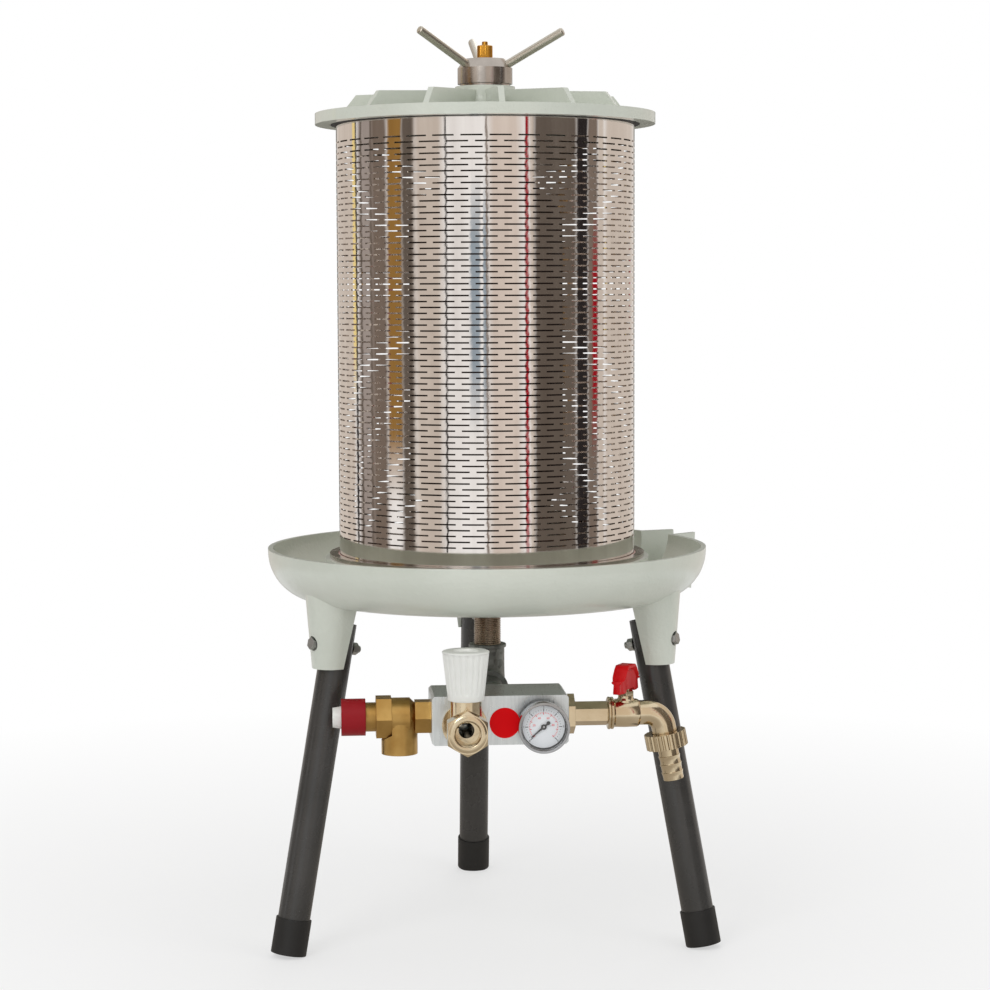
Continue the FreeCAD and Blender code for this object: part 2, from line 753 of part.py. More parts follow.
# Basket: a slotted tube, alternate rows of slots staggered by half a slot
basket = new_body("basket")
revolve(basket, [(basket_inner, basket_foot), (s.basket_radius, basket_foot),
                 (s.basket_radius, basket_top), (basket_inner, basket_top)])
slot_plane = basket_inner - s.slip_gap * 2
stagger = 180.0 / size.slots_per_row.value
for first, shift in ((0, 0.0), (1, stagger)):
    turned = sine(measure(shift)), cosine(measure(shift))
    sketch = new_sketch(basket, "XZ_Plane", (slot_plane * turned[0], 0, slot_plane * turned[1]),
                        ("y", shift))
    for row in range(first, int(round(size.slot_rows.value)), 2):
        level = basket_foot + s.slot_first_row + s.slot_row_step * row
        low, high = level - s.slot_width / 2, level + s.slot_width / 2
        draw_outline(sketch, [(-s.slot_length / 2, low), (s.slot_length / 2, low),
                              (s.slot_length / 2, high), (-s.slot_length / 2, high)])
    slots = feature(basket, "Pocket", Profile=sketch, Length=s.slip_gap * 4 + s.basket_wall,
                    Reversed=True)
    polar(basket, [slots], size.slots_per_row)

# Lid: ribbed casting with a spigot and a groove for its seal
lid = new_body("lid")
lid_bore = s.pipe_radius + s.lid_bore_gap
spigot_outer = basket_inner - s.slip_gap
seal_inner = s.basket_radius - s.lid_seal_inner
seal_outer = s.basket_radius + s.lid_seal_outer
seal_top = basket_top + s.lid_seal_height
revolve(lid, [(lid_bore, plate_bottom), (spigot_outer - s.lid_spigot_width, plate_bottom),
              (spigot_outer - s.lid_spigot_width, flange_bottom - s.lid_spigot_drop),
              (spigot_outer, flange_bottom - s.lid_spigot_drop), (spigot_outer, seal_top),
              (seal_outer + s.seat_gap, seal_top), (seal_outer + s.seat_gap, flange_bottom),
              (s.lid_flange_radius, flange_bottom), (s.lid_flange_radius, flange_top),
              (s.lid_skirt_radius, flange_top, -(s.lid_skirt_radius - s.lid_hub_radius)),
              (s.lid_hub_radius, flange_top + (s.lid_skirt_radius - s.lid_hub_radius)),
              (s.lid_hub_radius, hub_top), (lid_bore, hub_top)])
rib_inner = s.lid_hub_radius - s.lid_rib_width
lid_rib = extrude(lid, [(rib_inner, flange_top - s.slip_gap),
                        (s.lid_rib_end_radius, flange_top - s.slip_gap),
                        (s.lid_rib_end_radius, flange_top),
                        (s.lid_rib_peak_radius, flange_top + s.lid_rib_height_outer),
                        (rib_inner, flange_top + s.lid_rib_height_inner)],
                  s.lid_rib_width, role="XZ_Plane", both=True)
polar(lid, [lid_rib], size.lid_rib_count)
place(lid, turns=[("z", s.lid_rib_azimuth)])
ring("lid_seal", seal_inner + s.seat_gap, seal_outer, basket_top, seal_top)

# Press nut with three rods, and its washer
nut_bore_radius = s.pipe_radius + s.running_gap
rod_at = (s.rod_start_radius, nut_bottom + s.rod_start_rise, 0)
rod_turn = ("z", s.rod_elevation)
press_nut = new_body("press_nut")
revolve(press_nut, [(nut_bore_radius, nut_bottom), (s.nut_radius, nut_bottom),
                    (s.nut_radius, nut_bottom + s.nut_side_height), (s.nut_top_radius, nut_top),
                    (nut_bore_radius, nut_top)])
rod_hole = revolve(press_nut, [(-s.rod_embed, 0), (s.rod_length, 0),
                               (s.rod_length, s.rod_radius + s.running_gap),
                               (-s.rod_embed, s.rod_radius + s.running_gap)], kind="Groove",
                   axis="H_Axis",
                   at=rod_at, turn=rod_turn)
polar(press_nut, [rod_hole], size.rod_count)
place(press_nut, turns=[("z", s.rod_azimuth)])

rods = new_body("nut_handle_rods")
rod = revolve(rods, [(-s.rod_embed, 0), (s.rod_length, 0),
                     (s.rod_length, s.rod_radius - s.rod_end_chamfer),
                     (s.rod_length - s.rod_end_chamfer, s.rod_radius), (-s.rod_embed, s.rod_radius)],
              axis="H_Axis", at=rod_at, turn=rod_turn)
polar(rods, [rod], size.rod_count)
place(rods, turns=[("z", s.rod_azimuth)])
ring("thrust_washer", lid_bore, s.thrust_washer_radius, hub_top, nut_bottom)

# Central pipe, with holes that let the water into the membrane
pipe = new_body("central_pipe")
revolve(pipe, [(pipe_inner, s.pipe_bottom), (s.pipe_radius, s.pipe_bottom),
               (s.pipe_radius, pipe_top), (pipe_inner, pipe_top)])
extrude(pipe,
        tuple((s.water_hole_radius, 0,
               s.water_hole_first + s.water_hole_step * step) for step in range(3)),
        s.pipe_radius * 4, kind="Pocket", role="XZ_Plane", both=True)
threaded_bore = s.pipe_radius + s.running_gap
lock_nut_top = s.tray_height - s.lock_washer_height
ring("base_lock_washer", tray_bore, s.lock_washer_radius, lock_nut_top, s.tray_height)
hex_ring("base_lock_nut", s.lock_nut_flats, threaded_bore, lock_nut_top - s.lock_nut_height,
         s.lock_nut_height)

# Rubber membrane on two spools, with band clamps
spool_foot = tray_top + s.spool_gasket_height
top_spool_top = flange_bottom - s.top_spool_below_lid
ring("spool_gasket", tray_bore, s.spool_flange_radius, tray_top, spool_foot)
spools = new_body("membrane_spools")
revolve(spools, [(threaded_bore, spool_foot), (s.spool_flange_radius, spool_foot),
                 (s.spool_flange_radius, spool_foot + s.spool_flange_height),
                 (s.spool_radius, spool_foot + s.spool_flange_height),
                 (s.spool_radius, spool_foot + s.spool_height),
                 (threaded_bore, spool_foot + s.spool_height)])
revolve(spools, [(threaded_bore, top_spool_top - s.spool_height),
                 (s.spool_radius, top_spool_top - s.spool_height),
                 (s.spool_radius, top_spool_top - s.spool_flange_height),
                 (s.spool_flange_radius, top_spool_top - s.spool_flange_height),
                 (s.spool_flange_radius, top_spool_top), (threaded_bore, top_spool_top)])
membrane_low = spool_foot + s.spool_flange_height
membrane_high = top_spool_top - s.spool_flange_height
neck_inner = s.spool_radius + s.thread_gap
neck_outer = neck_inner + s.membrane_wall
neck_low = spool_foot + s.spool_height
neck_high = top_spool_top - s.spool_height
membrane = new_body("membrane")
revolve(membrane, [(neck_inner, membrane_low), (neck_outer, membrane_low), (neck_outer, neck_low),
                   (s.membrane_radius, neck_low + s.membrane_shoulder),
                   (s.membrane_radius, neck_high - s.membrane_shoulder), (neck_outer, neck_high),
                   (neck_outer, membrane_high), (neck_inner, membrane_high), (neck_inner, neck_high),
                   (s.membrane_radius - s.membrane_wall, neck_high - s.membrane_shoulder),
                   (s.membrane_radius - s.membrane_wall, neck_low + s.membrane_shoulder),
                   (neck_inner, neck_low)])
clamps = new_body("membrane_clamps")
for bottom in (membrane_low + s.clamp_inset, membrane_high - s.clamp_inset - s.clamp_width):
    revolve(clamps, [(neck_outer + s.running_gap, bottom), (neck_outer + s.clamp_thickness, bottom),
                     (neck_outer + s.clamp_thickness, bottom + s.clamp_width),
                     (neck_outer + s.running_gap, bottom + s.clamp_width)])
hex_ring("upper_lock_nut", s.top_nut_flats, threaded_bore, top_spool_top, s.top_nut_height)

# Air vent screwed into the pipe's end
vent_seat = pipe_top + s.vent_flange_height
vent_cap_top = vent_seat + s.vent_cap_height
vent = new_body("vent_body")
revolve(vent, [(s.vent_hole_radius, pipe_top - s.vent_plug_length),
               (pipe_inner - s.thread_gap, pipe_top - s.vent_plug_length),
               (pipe_inner - s.thread_gap, pipe_top), (s.vent_flange_radius, pipe_top),
               (s.vent_flange_radius, vent_seat), (s.vent_stub_radius, vent_seat),
               (s.vent_stub_radius, vent_seat + s.vent_stub_height),
               (s.vent_hole_radius, vent_seat + s.vent_stub_height)])
vent_cap = new_body("vent_cap")
revolve(vent_cap, [(s.vent_stub_radius + s.running_gap, vent_seat), (s.vent_cap_radius, vent_seat),
                   (s.vent_cap_radius, vent_cap_top), (s.vent_tip_radius, vent_cap_top),
                   (s.vent_tip_radius, vent_cap_top + s.vent_tip_height),
                   (0, vent_cap_top + s.vent_tip_height),
                   (0, vent_seat + s.vent_stub_height + s.seat_gap),
                   (s.vent_stub_radius + s.running_gap, vent_seat + s.vent_stub_height + s.seat_gap)])

# Elbow under the pipe, and the nipple that carries the valve block
elbow_top = s.pipe_bottom + s.elbow_socket
elbow = new_body("elbow")


def elbow_run(kind, radius):
    """The elbow's bent run, from its top socket round to its branch."""
    route = new_sketch(elbow, "YZ_Plane")
    bend_top = s.branch_height + s.bend_radius
    turning = Vector(-s.bend_radius.value, bend_top.value, 0)
    circle = Part.Circle(turning, Vector(0, 0, 1), s.bend_radius.value)
    drop = route.addGeometry(Part.LineSegment(Vector(0, elbow_top.value, 0),
                                              Vector(0, bend_top.value, 0)), False)
    bend = route.addGeometry(Part.ArcOfCircle(circle, -math.pi / 2, 0), False)
    out = route.addGeometry(Part.LineSegment(Vector(-s.bend_radius.value, s.branch_height.value, 0),
                                             Vector(-s.branch_reach.value, s.branch_height.value, 0)),
                            False)
    route.addConstraint(Sketcher.Constraint("Coincident", drop, 2, bend, 2))
    route.addConstraint(Sketcher.Constraint("Coincident", bend, 1, out, 1))
    tie(route, "DistanceY", -1, 1, drop, 1, to=elbow_top)
    tie(route, "DistanceX", -1, 1, drop, 1, to=0)
    tie(route, "DistanceX", -1, 1, drop, 2, to=0)
    tie(route, "DistanceY", -1, 1, drop, 2, to=bend_top)
    tie(route, "DistanceX", -1, 1, out, 1, to=-s.bend_radius)
    tie(route, "DistanceY", -1, 1, out, 1, to=s.branch_height)
    tie(route, "DistanceX", -1, 1, out, 2, to=-s.branch_reach)
    tie(route, "DistanceY", -1, 1, out, 2, to=s.branch_height)
    tie(route, "Radius", bend, to=s.bend_radius)
    section = new_sketch(elbow, "XY_Plane", (0, 0, elbow_top))
    draw_circle(section, radius)
    return feature(elbow, kind, Profile=section, Spine=route)


elbow_run("AdditivePipe", s.elbow_radius)
extrude(elbow, ((s.elbow_collar_radius, 0, 0),), s.elbow_collar_height, at=(0, 0, elbow_top), back=True)
extrude(elbow, ((s.elbow_collar_radius, 0, s.branch_height),), s.elbow_collar_height, role="XZ_Plane",
        at=(0, 0, s.branch_reach), back=True)
elbow_run("SubtractivePipe", s.elbow_bore_radius)
extrude(elbow, ((s.pipe_radius + s.running_gap, 0, 0),), s.elbow_socket, kind="Pocket",
        at=(0, 0, elbow_top))
extrude(elbow, ((s.pipe_radius + s.running_gap, 0, s.branch_height),), s.branch_socket, kind="Pocket",
        role="XZ_Plane", at=(0, 0, s.branch_reach))

nipple_end = s.block_rear + s.rear_port_depth
nipple = new_body("block_nipple")
revolve(nipple, [(s.nipple_bore_radius, s.branch_reach - s.branch_socket),
                 (s.pipe_radius, s.branch_reach - s.branch_socket),
                 (s.pipe_radius, s.nipple_reducer),
                 (s.nipple_small_radius, s.nipple_reducer + s.slip_gap * 2),
                 (s.nipple_small_radius, nipple_end), (s.nipple_bore_radius, nipple_end)])
place(nipple, at=(0, 0, s.branch_height), turns=[("x", 90)])

# Valve block
block = new_body("valve_block")
block_front = s.block_rear + s.block_depth
half_height = s.block_height / 2
end, top, bottom = s.block_half_length, s.port_height + half_height, s.port_height - half_height
cut = s.block_edge_chamfer
extrude(block, [(-end, bottom + cut), (-end + cut, bottom), (end - cut, bottom), (end, bottom + cut),
                (end, top - cut), (end - cut, top), (-end + cut, top), (-end, top - cut)],
        s.block_depth, role="XZ_Plane", at=(0, 0, s.block_rear))
gallery = {"role": "YZ_Plane", "kind": "Pocket"}
line = -s.port_line_depth
extrude(block, ((s.gallery_radius, line, s.port_height),), end * 3, both=True, **gallery)
extrude(block, ((s.relief_thread_radius + s.running_gap, line, s.port_height),), s.port_depth, back=True,
        at=(0, 0, -end), **gallery)
extrude(block, ((s.tap_thread_radius + s.running_gap, line, s.port_height),), s.port_depth,
        at=(0, 0, end), **gallery)
rear_and_front = {"role": "XZ_Plane", "kind": "Pocket"}
extrude(block, ((s.nipple_small_radius + s.running_gap, 0, s.branch_height),), s.rear_port_depth,
        back=True,
        at=(0, 0, s.block_rear), **rear_and_front)
extrude(block, ((s.nipple_bore_radius, 0, s.branch_height),), s.port_line_depth - s.block_rear, back=True,
        at=(0, 0, s.block_rear), **rear_and_front)
extrude(block, ((s.inlet_thread_radius + s.running_gap, s.inlet_place, s.front_port_height),), s.port_depth,
        at=(0, 0, block_front), **rear_and_front)
extrude(block, ((s.inlet_way_radius, s.inlet_place, s.front_port_height),),
        block_front - s.port_line_depth, at=(0, 0, block_front), **rear_and_front)
extrude(block, ((s.gauge_thread_radius + s.running_gap, s.gauge_place, s.front_port_height),),
        block_front - s.port_line_depth, at=(0, 0, block_front), **rear_and_front)

# Three ways to lay a turned piece: along the block's left end, its right end and its front
to_left = {"at": (0, line, s.port_height), "turns": [("y", -90)]}
to_right = {"at": (0, line, s.port_height), "turns": [("y", 90)]}

# Safety valve: its own Z runs to the left, away from the block
thread_start = end - s.port_depth
relief = new_body("relief_body")
revolve(relief, [(s.relief_seat_radius, thread_start), (s.relief_thread_radius, thread_start),
                 (s.relief_thread_radius, end), (s.relief_body_radius - s.slip_gap * 3, end),
                 (s.relief_body_radius - s.slip_gap * 3, s.relief_hex_end),
                 (s.relief_body_radius, s.relief_hex_end + s.slip_gap * 3),
                 (s.relief_body_radius, s.relief_body_end),
                 (s.relief_chamber_radius, s.relief_body_end),
                 (s.relief_chamber_radius, s.relief_seat_place),
                 (s.relief_seat_radius, s.relief_seat_place)])
extrude(relief, hexagon(s.relief_hex_flats), s.relief_hex_end - end, at=(0, 0, end))
outlet_drop = s.port_height - s.relief_outlet_bottom
extrude(relief, ((s.relief_outlet_radius, 0, s.relief_outlet_place),), outlet_drop, role="YZ_Plane",
        back=True)
extrude(relief, ((s.relief_seat_radius, 0, 0),), s.relief_seat_place, kind="Pocket", back=True)
extrude(relief, ((s.relief_chamber_radius, 0, 0),), s.relief_body_end - s.relief_seat_place,
        kind="Pocket",
        at=(0, 0, s.relief_seat_place), back=True)
bonnet_height = s.relief_bonnet_end - s.relief_body_end
extrude(relief, ((s.relief_bonnet_flats / math.sqrt(3) + s.seat_gap, 0, 0),), bonnet_height,
        kind="Pocket",
        at=(0, 0, s.relief_body_end), back=True)
extrude(relief, ((s.relief_outlet_way, 0, s.relief_outlet_place),), outlet_drop, kind="Pocket",
        role="YZ_Plane")
extrude(relief, ((s.relief_outlet_bore, 0, s.relief_outlet_place),), s.relief_outlet_socket,
        kind="Pocket",
        role="YZ_Plane", at=(0, 0, -outlet_drop), back=True)
place(relief, **to_left)

bonnet = new_body("relief_bonnet")
post_bore = s.relief_stem_radius + s.thread_gap
extrude(bonnet, hexagon(s.relief_bonnet_flats), bonnet_height, at=(0, 0, s.relief_body_end))
revolve(bonnet, [(0, s.relief_bonnet_end - s.slip_gap),
                 (s.relief_neck_radius, s.relief_bonnet_end - s.slip_gap),
                 (s.relief_neck_radius, s.relief_neck_end), (s.relief_post_radius, s.relief_neck_end),
                 (s.relief_post_radius, s.relief_post_end), (0, s.relief_post_end)])
extrude(bonnet, ((s.relief_spring_bore, 0, 0),), s.relief_neck_end - s.slip_gap, kind="Pocket", back=True)
extrude(bonnet, ((post_bore, 0, 0),), s.relief_tip_end, kind="Pocket", back=True)
place(bonnet, **to_left)

disc = new_body("relief_disc_and_stem")
disc_top = s.relief_seat_place + s.relief_disc_height
revolve(disc, [(0, s.relief_seat_place), (s.relief_disc_radius, s.relief_seat_place),
               (s.relief_disc_radius, disc_top),
               (s.relief_stem_radius, disc_top), (s.relief_stem_radius, s.relief_post_end + s.slip_gap),
               (0, s.relief_post_end + s.slip_gap)])
place(disc, **to_left)

spring = new_body("relief_spring")
revolve(spring, [(s.relief_spring_radius - s.relief_spring_wire, disc_top),
                 (s.relief_spring_radius, disc_top),
                 (s.relief_spring_radius, s.relief_neck_end - s.slip_gap),
                 (s.relief_spring_radius - s.relief_spring_wire, s.relief_neck_end - s.slip_gap)])
place(spring, **to_left)

relief_cap = new_body("relief_cap")
revolve(relief_cap, [(s.relief_post_radius + s.running_gap, s.relief_neck_end),
                     (s.relief_cap_radius, s.relief_neck_end),
                     (s.relief_cap_radius, s.relief_cap_end), (0, s.relief_cap_end),
                     (0, s.relief_post_end + s.slip_gap * 2),
                     (s.relief_post_radius + s.running_gap, s.relief_post_end + s.slip_gap * 2)])
place(relief_cap, **to_left)
tip = new_body("relief_cap_tip")
revolve(tip, [(0, s.relief_cap_end), (s.relief_tip_root_radius, s.relief_cap_end),
              (s.relief_tip_radius, s.relief_tip_end), (0, s.relief_tip_end)])
place(tip, **to_left)

# Inlet valve: its own Z runs forwards from the block
to_front = {"at": (s.inlet_place, 0, s.front_port_height), "turns": [("x", 90)]}
inlet_ring = new_body("inlet_union_ring")
revolve(inlet_ring, [(s.inlet_body_radius + s.running_gap, block_front),
                     (s.inlet_ring_radius, block_front),
                     (s.inlet_ring_radius, s.inlet_ring_end),
                     (s.inlet_body_radius + s.running_gap, s.inlet_ring_end)])
place(inlet_ring, **to_front)

inlet = new_body("inlet_valve_body")
neck_rise = s.inlet_neck_top - s.front_port_height
revolve(inlet, [(0, block_front - s.port_depth), (s.inlet_thread_radius, block_front - s.port_depth),
                (s.inlet_thread_radius, block_front), (s.inlet_body_radius, block_front),
                (s.inlet_body_radius, s.inlet_end), (0, s.inlet_end)])
extrude(inlet, hexagon(s.inlet_hex_flats), s.inlet_end - s.inlet_hex_start, at=(0, 0, s.inlet_hex_start))
extrude(inlet, ((s.inlet_neck_radius, 0, s.inlet_spindle_place),), neck_rise, role="XZ_Plane", back=True)
extrude(inlet, ((s.inlet_way_radius, 0, 0),), s.inlet_end * 2, kind="Pocket", both=True)
extrude(inlet, ((s.inlet_port_bore, 0, 0),), s.inlet_port_depth, kind="Pocket", at=(0, 0, s.inlet_end))
neck_floor = s.inlet_neck_floor - s.front_port_height
extrude(inlet, ((s.inlet_neck_bore, 0, s.inlet_spindle_place),), neck_rise - neck_floor, kind="Pocket",
        role="XZ_Plane", at=(0, 0, -neck_rise), back=True)
extrude(inlet, ((s.inlet_way_radius, 0, s.inlet_spindle_place),), neck_rise, kind="Pocket",
        role="XZ_Plane", at=(0, 0, -neck_rise), back=True)
hex_corner = s.inlet_hex_flats / math.sqrt(3) + s.seat_gap
revolve(inlet, [(s.inlet_hex_flats / 2, s.inlet_end), (hex_corner, s.inlet_end - s.inlet_hex_chamfer),
                (hex_corner, s.inlet_end + s.seat_gap), (s.inlet_hex_flats / 2, s.inlet_end + s.seat_gap)],
        kind="Groove")
revolve(inlet, [(s.inlet_way_radius, s.inlet_end), (s.inlet_port_bore, s.inlet_end - s.inlet_mouth_chamfer),
                (s.inlet_port_bore + s.inlet_mouth_chamfer, s.inlet_end)], kind="Groove")
place(inlet, **to_front)

upright = {"at": (s.inlet_place, -s.inlet_spindle_place, 0)}
insert = new_body("inlet_bonnet_insert")
revolve(insert, [(s.spindle_radius + s.running_gap, s.inlet_neck_top - s.bonnet_insert_height),
                 (s.inlet_neck_bore - s.running_gap, s.inlet_neck_top - s.bonnet_insert_height),
                 (s.inlet_neck_bore - s.running_gap, s.inlet_neck_top),
                 (s.spindle_radius + s.running_gap, s.inlet_neck_top)])
place(insert, **upright)
spindle = new_body("inlet_spindle")
spindle_disc_foot = s.inlet_neck_floor + s.spindle_disc_lift
knob_foot = s.inlet_neck_top + s.knob_lift
knob_top = knob_foot + s.knob_height
revolve(spindle, [(0, spindle_disc_foot), (s.spindle_disc_radius, spindle_disc_foot),
                  (s.spindle_disc_radius, spindle_disc_foot + s.spindle_disc_height),
                  (s.spindle_radius, spindle_disc_foot + s.spindle_disc_height),
                  (s.spindle_radius, knob_foot + s.knob_socket_depth),
                  (0, knob_foot + s.knob_socket_depth)])
place(spindle, **upright)

knob = new_body("inlet_knob")
knob_slope = (s.knob_top_radius - s.knob_bottom_radius) / s.knob_height
revolve(knob, [(0, knob_foot + s.knob_socket_depth),
               (s.spindle_radius + s.running_gap, knob_foot + s.knob_socket_depth),
               (s.spindle_radius + s.running_gap, knob_foot), (s.knob_bottom_radius, knob_foot),
               (s.knob_top_radius, knob_top), (s.knob_recess_radius, knob_top),
               (s.knob_recess_radius, knob_top - s.knob_recess_depth),
               (0, knob_top - s.knob_recess_depth)])
flute_low = knob_foot + s.knob_band
flute_root = s.knob_bottom_radius + knob_slope * s.knob_band
flute = loft(knob, [("XY_Plane", (0, 0, level), None,
                     [(reach, -s.knob_flute_radius / 2),
                      (reach + s.knob_flute_radius, -s.knob_flute_radius),
                      (reach + s.knob_flute_radius, s.knob_flute_radius),
                      (reach, s.knob_flute_radius / 2)])
                    for level, reach in ((flute_low, flute_root - s.knob_flute_radius / 3),
                                         (knob_top + s.seat_gap,
                                          s.knob_top_radius - s.knob_flute_radius / 3))],
             kind="SubtractiveLoft")
polar(knob, [flute], size.knob_flute_count)
place(knob, **upright)

# Pressure gauge: its own Z runs forwards
gauge_way = {"at": (s.gauge_place, 0, s.front_port_height), "turns": [("x", 90)]}
gauge_floor = s.gauge_hex_end + s.gauge_case_floor
dial_face = s.gauge_bezel_start + s.gauge_dial_thickness
gauge_case = new_body("gauge_case")
revolve(gauge_case, [(0, block_front - s.port_depth), (s.gauge_thread_radius, block_front - s.port_depth),
                     (s.gauge_thread_radius, s.gauge_hex_end), (s.gauge_case_radius, s.gauge_hex_end),
                     (s.gauge_case_radius, s.gauge_case_end),
                     (s.gauge_case_radius - s.slip_gap, s.gauge_case_end),
                     (s.gauge_case_radius - s.slip_gap, gauge_floor), (s.gauge_pin_radius, gauge_floor),
                     (s.gauge_pin_radius, dial_face + s.gauge_needle_lift * 2),
                     (0, dial_face + s.gauge_needle_lift * 2)])
extrude(gauge_case, hexagon(s.gauge_hex_flats), s.gauge_hex_end - block_front, at=(0, 0, block_front))
place(gauge_case, **gauge_way)
dial = new_body("gauge_dial")
revolve(dial, [(s.gauge_pin_radius + s.running_gap, s.gauge_bezel_start),
               (s.gauge_case_radius - s.slip_gap - s.running_gap, s.gauge_bezel_start),
               (s.gauge_case_radius - s.slip_gap - s.running_gap, dial_face),
               (s.gauge_pin_radius + s.running_gap, dial_face)])
place(dial, **gauge_way)
needle = new_body("gauge_needle")
needle_level = dial_face + s.gauge_needle_lift
half_width = s.gauge_needle_width / 2
extrude(needle, ((s.gauge_needle_hub, 0, 0),), s.gauge_needle_thickness, at=(0, 0, needle_level))
extrude(needle, [(-s.gauge_needle_tail, -half_width),
                 (s.gauge_needle_length - half_width * 2, -half_width),
                 (s.gauge_needle_length, 0), (s.gauge_needle_length - half_width * 2, half_width),
                 (-s.gauge_needle_tail, half_width)], s.gauge_needle_thickness, at=(0, 0, needle_level))
extrude(needle, ((s.gauge_pin_radius + s.running_gap, 0, 0),), s.gauge_needle_thickness, kind="Pocket",
        at=(0, 0, needle_level), back=True)
place(needle, at=gauge_way["at"], turns=[("x", 90), ("z", s.gauge_needle_azimuth)])
lens = new_body("gauge_lens")
lens_foot = s.gauge_case_end
revolve(lens, [(0, lens_foot), (s.gauge_window_radius, lens_foot),
               (s.gauge_window_radius, lens_foot + s.gauge_lens_thickness),
               (0, lens_foot + s.gauge_lens_thickness)])
place(lens, **gauge_way)
bezel = new_body("gauge_bezel")
revolve(bezel, [(s.gauge_case_radius + s.running_gap, s.gauge_bezel_start),
                (s.gauge_bezel_radius, s.gauge_bezel_start),
                (s.gauge_bezel_radius, s.gauge_bezel_end),
                (s.gauge_window_radius + s.running_gap, s.gauge_bezel_end),
                (s.gauge_window_radius + s.running_gap, s.gauge_case_end),
                (s.gauge_case_radius + s.running_gap, s.gauge_case_end)])
place(bezel, **gauge_way)

stamp = new_body("inspection_disc")
extrude(stamp, ((s.seal_disc_radius, s.seal_disc_place, s.seal_disc_height),), s.seal_disc_thickness,
        role="XZ_Plane", at=(0, 0, block_front))

# Drain tap: its own Z runs to the right, away from the block
tap_seal = new_body("tap_seal")
revolve(tap_seal, [(s.tap_thread_radius + s.thread_gap, end), (s.tap_seal_radius, end),
                   (s.tap_seal_radius, s.tap_seal_end),
                   (s.tap_thread_radius + s.thread_gap, s.tap_seal_end)])
place(tap_seal, **to_right)
tap_lock_nut = hex_ring("tap_lock_nut", s.tap_lock_nut_flats, s.tap_thread_radius + s.running_gap,
                        s.tap_seal_end,
                        s.tap_lock_nut_end - s.tap_seal_end)
place(tap_lock_nut, at=to_right["at"], turns=[("y", 90), ("z", 30)])

extension = new_body("tap_extension")
spigot_end = s.tap_hex_end + s.tap_spigot_length
revolve(extension, [(0, thread_start), (s.tap_thread_radius, thread_start),
                    (s.tap_thread_radius, s.tap_lock_nut_end),
                    (s.tap_spigot_radius, s.tap_lock_nut_end), (s.tap_spigot_radius, spigot_end),
                    (0, spigot_end)])
extrude(extension, hexagon(s.tap_hex_flats), s.tap_hex_end - s.tap_lock_nut_end,
        at=(0, 0, s.tap_lock_nut_end), turn=("z", 30))
extrude(extension, ((s.tap_bore_radius, 0, 0),), spigot_end * 2, kind="Pocket", both=True)
place(extension, **to_right)

tap_neck_rise = s.tap_neck_top - s.port_height
cavity = s.tap_spigot_radius + s.seat_gap
tap_body = new_body("ball_valve_body")
revolve(tap_body, [(0, s.tap_body_start), (s.tap_collar_radius, s.tap_body_start),
                   (s.tap_collar_radius, s.tap_body_start + s.tap_collar_length),
                   (s.tap_body_radius, s.tap_body_start + s.tap_collar_length),
                   (s.tap_body_radius, s.tap_body_end),
                   (0, s.tap_body_end)])
extrude(tap_body, ((s.tap_neck_radius, 0, s.tap_stem_place),), tap_neck_rise, role="XZ_Plane",
        turn=("z", 0), back=True)
extrude(tap_body, ((s.tap_spigot_radius + s.running_gap, 0, 0),), s.tap_spigot_length, kind="Pocket",
        at=(0, 0, s.tap_body_start), back=True)
extrude(tap_body, ((s.tap_bore_radius, 0, 0),), s.tap_body_end, kind="Pocket", back=True)
extrude(tap_body, ((cavity, 0, 0),),
        s.tap_body_end - s.tap_stem_place + s.tap_seat_offset + s.tap_seat_thickness,
        kind="Pocket", at=(0, 0, s.tap_body_end))
extrude(tap_body, ((s.tap_stem_radius + s.running_gap, 0, s.tap_stem_place),), tap_neck_rise,
        kind="Pocket",
        role="XZ_Plane")
place(tap_body, at=(0, line, s.port_height), turns=[("x", 90), ("y", 90)])

seats = new_body("ball_seat_rings")
for start in (s.tap_stem_place - s.tap_seat_offset - s.tap_seat_thickness,
              s.tap_stem_place + s.tap_seat_offset):
    revolve(seats, [(s.tap_ball_bore, start), (cavity - s.running_gap, start),
                    (cavity - s.running_gap, start + s.tap_seat_thickness),
                    (s.tap_ball_bore, start + s.tap_seat_thickness)])
place(seats, **to_right)

tap_axis = {"at": (s.tap_stem_place, line, 0)}
ball_slot = s.port_height + s.tap_ball_radius - s.slip_gap
ball = new_body("valve_ball")
revolve(ball, [(0, s.port_height - s.tap_ball_radius, s.tap_ball_radius),
               (s.tap_ball_radius, s.port_height, s.tap_ball_radius),
               (0, s.port_height + s.tap_ball_radius)])
extrude(ball, ((s.tap_ball_bore, 0, s.port_height),), s.tap_ball_radius * 3, kind="Pocket",
        role="YZ_Plane", both=True)
extrude(ball, ((s.tap_stem_radius + s.running_gap, 0, 0),), s.slip_gap * 2, kind="Pocket",
        at=(0, 0, ball_slot), back=True)
place(ball, at=tap_axis["at"], turns=[("z", s.handle_azimuth)])

handle_foot = s.tap_neck_top + s.tap_gland_height + s.handle_lift
handle_top = handle_foot + s.handle_hub_height
stem = new_body("tap_stem")
revolve(stem, [(0, ball_slot), (s.tap_stem_radius, ball_slot),
               (s.tap_stem_radius, handle_top + s.handle_screw_height),
               (0, handle_top + s.handle_screw_height)])
place(stem, **tap_axis)
gland = hex_ring("tap_gland_nut", s.tap_gland_flats, s.tap_stem_radius + s.running_gap, s.tap_neck_top,
                 s.tap_gland_height)
place(gland, **tap_axis)

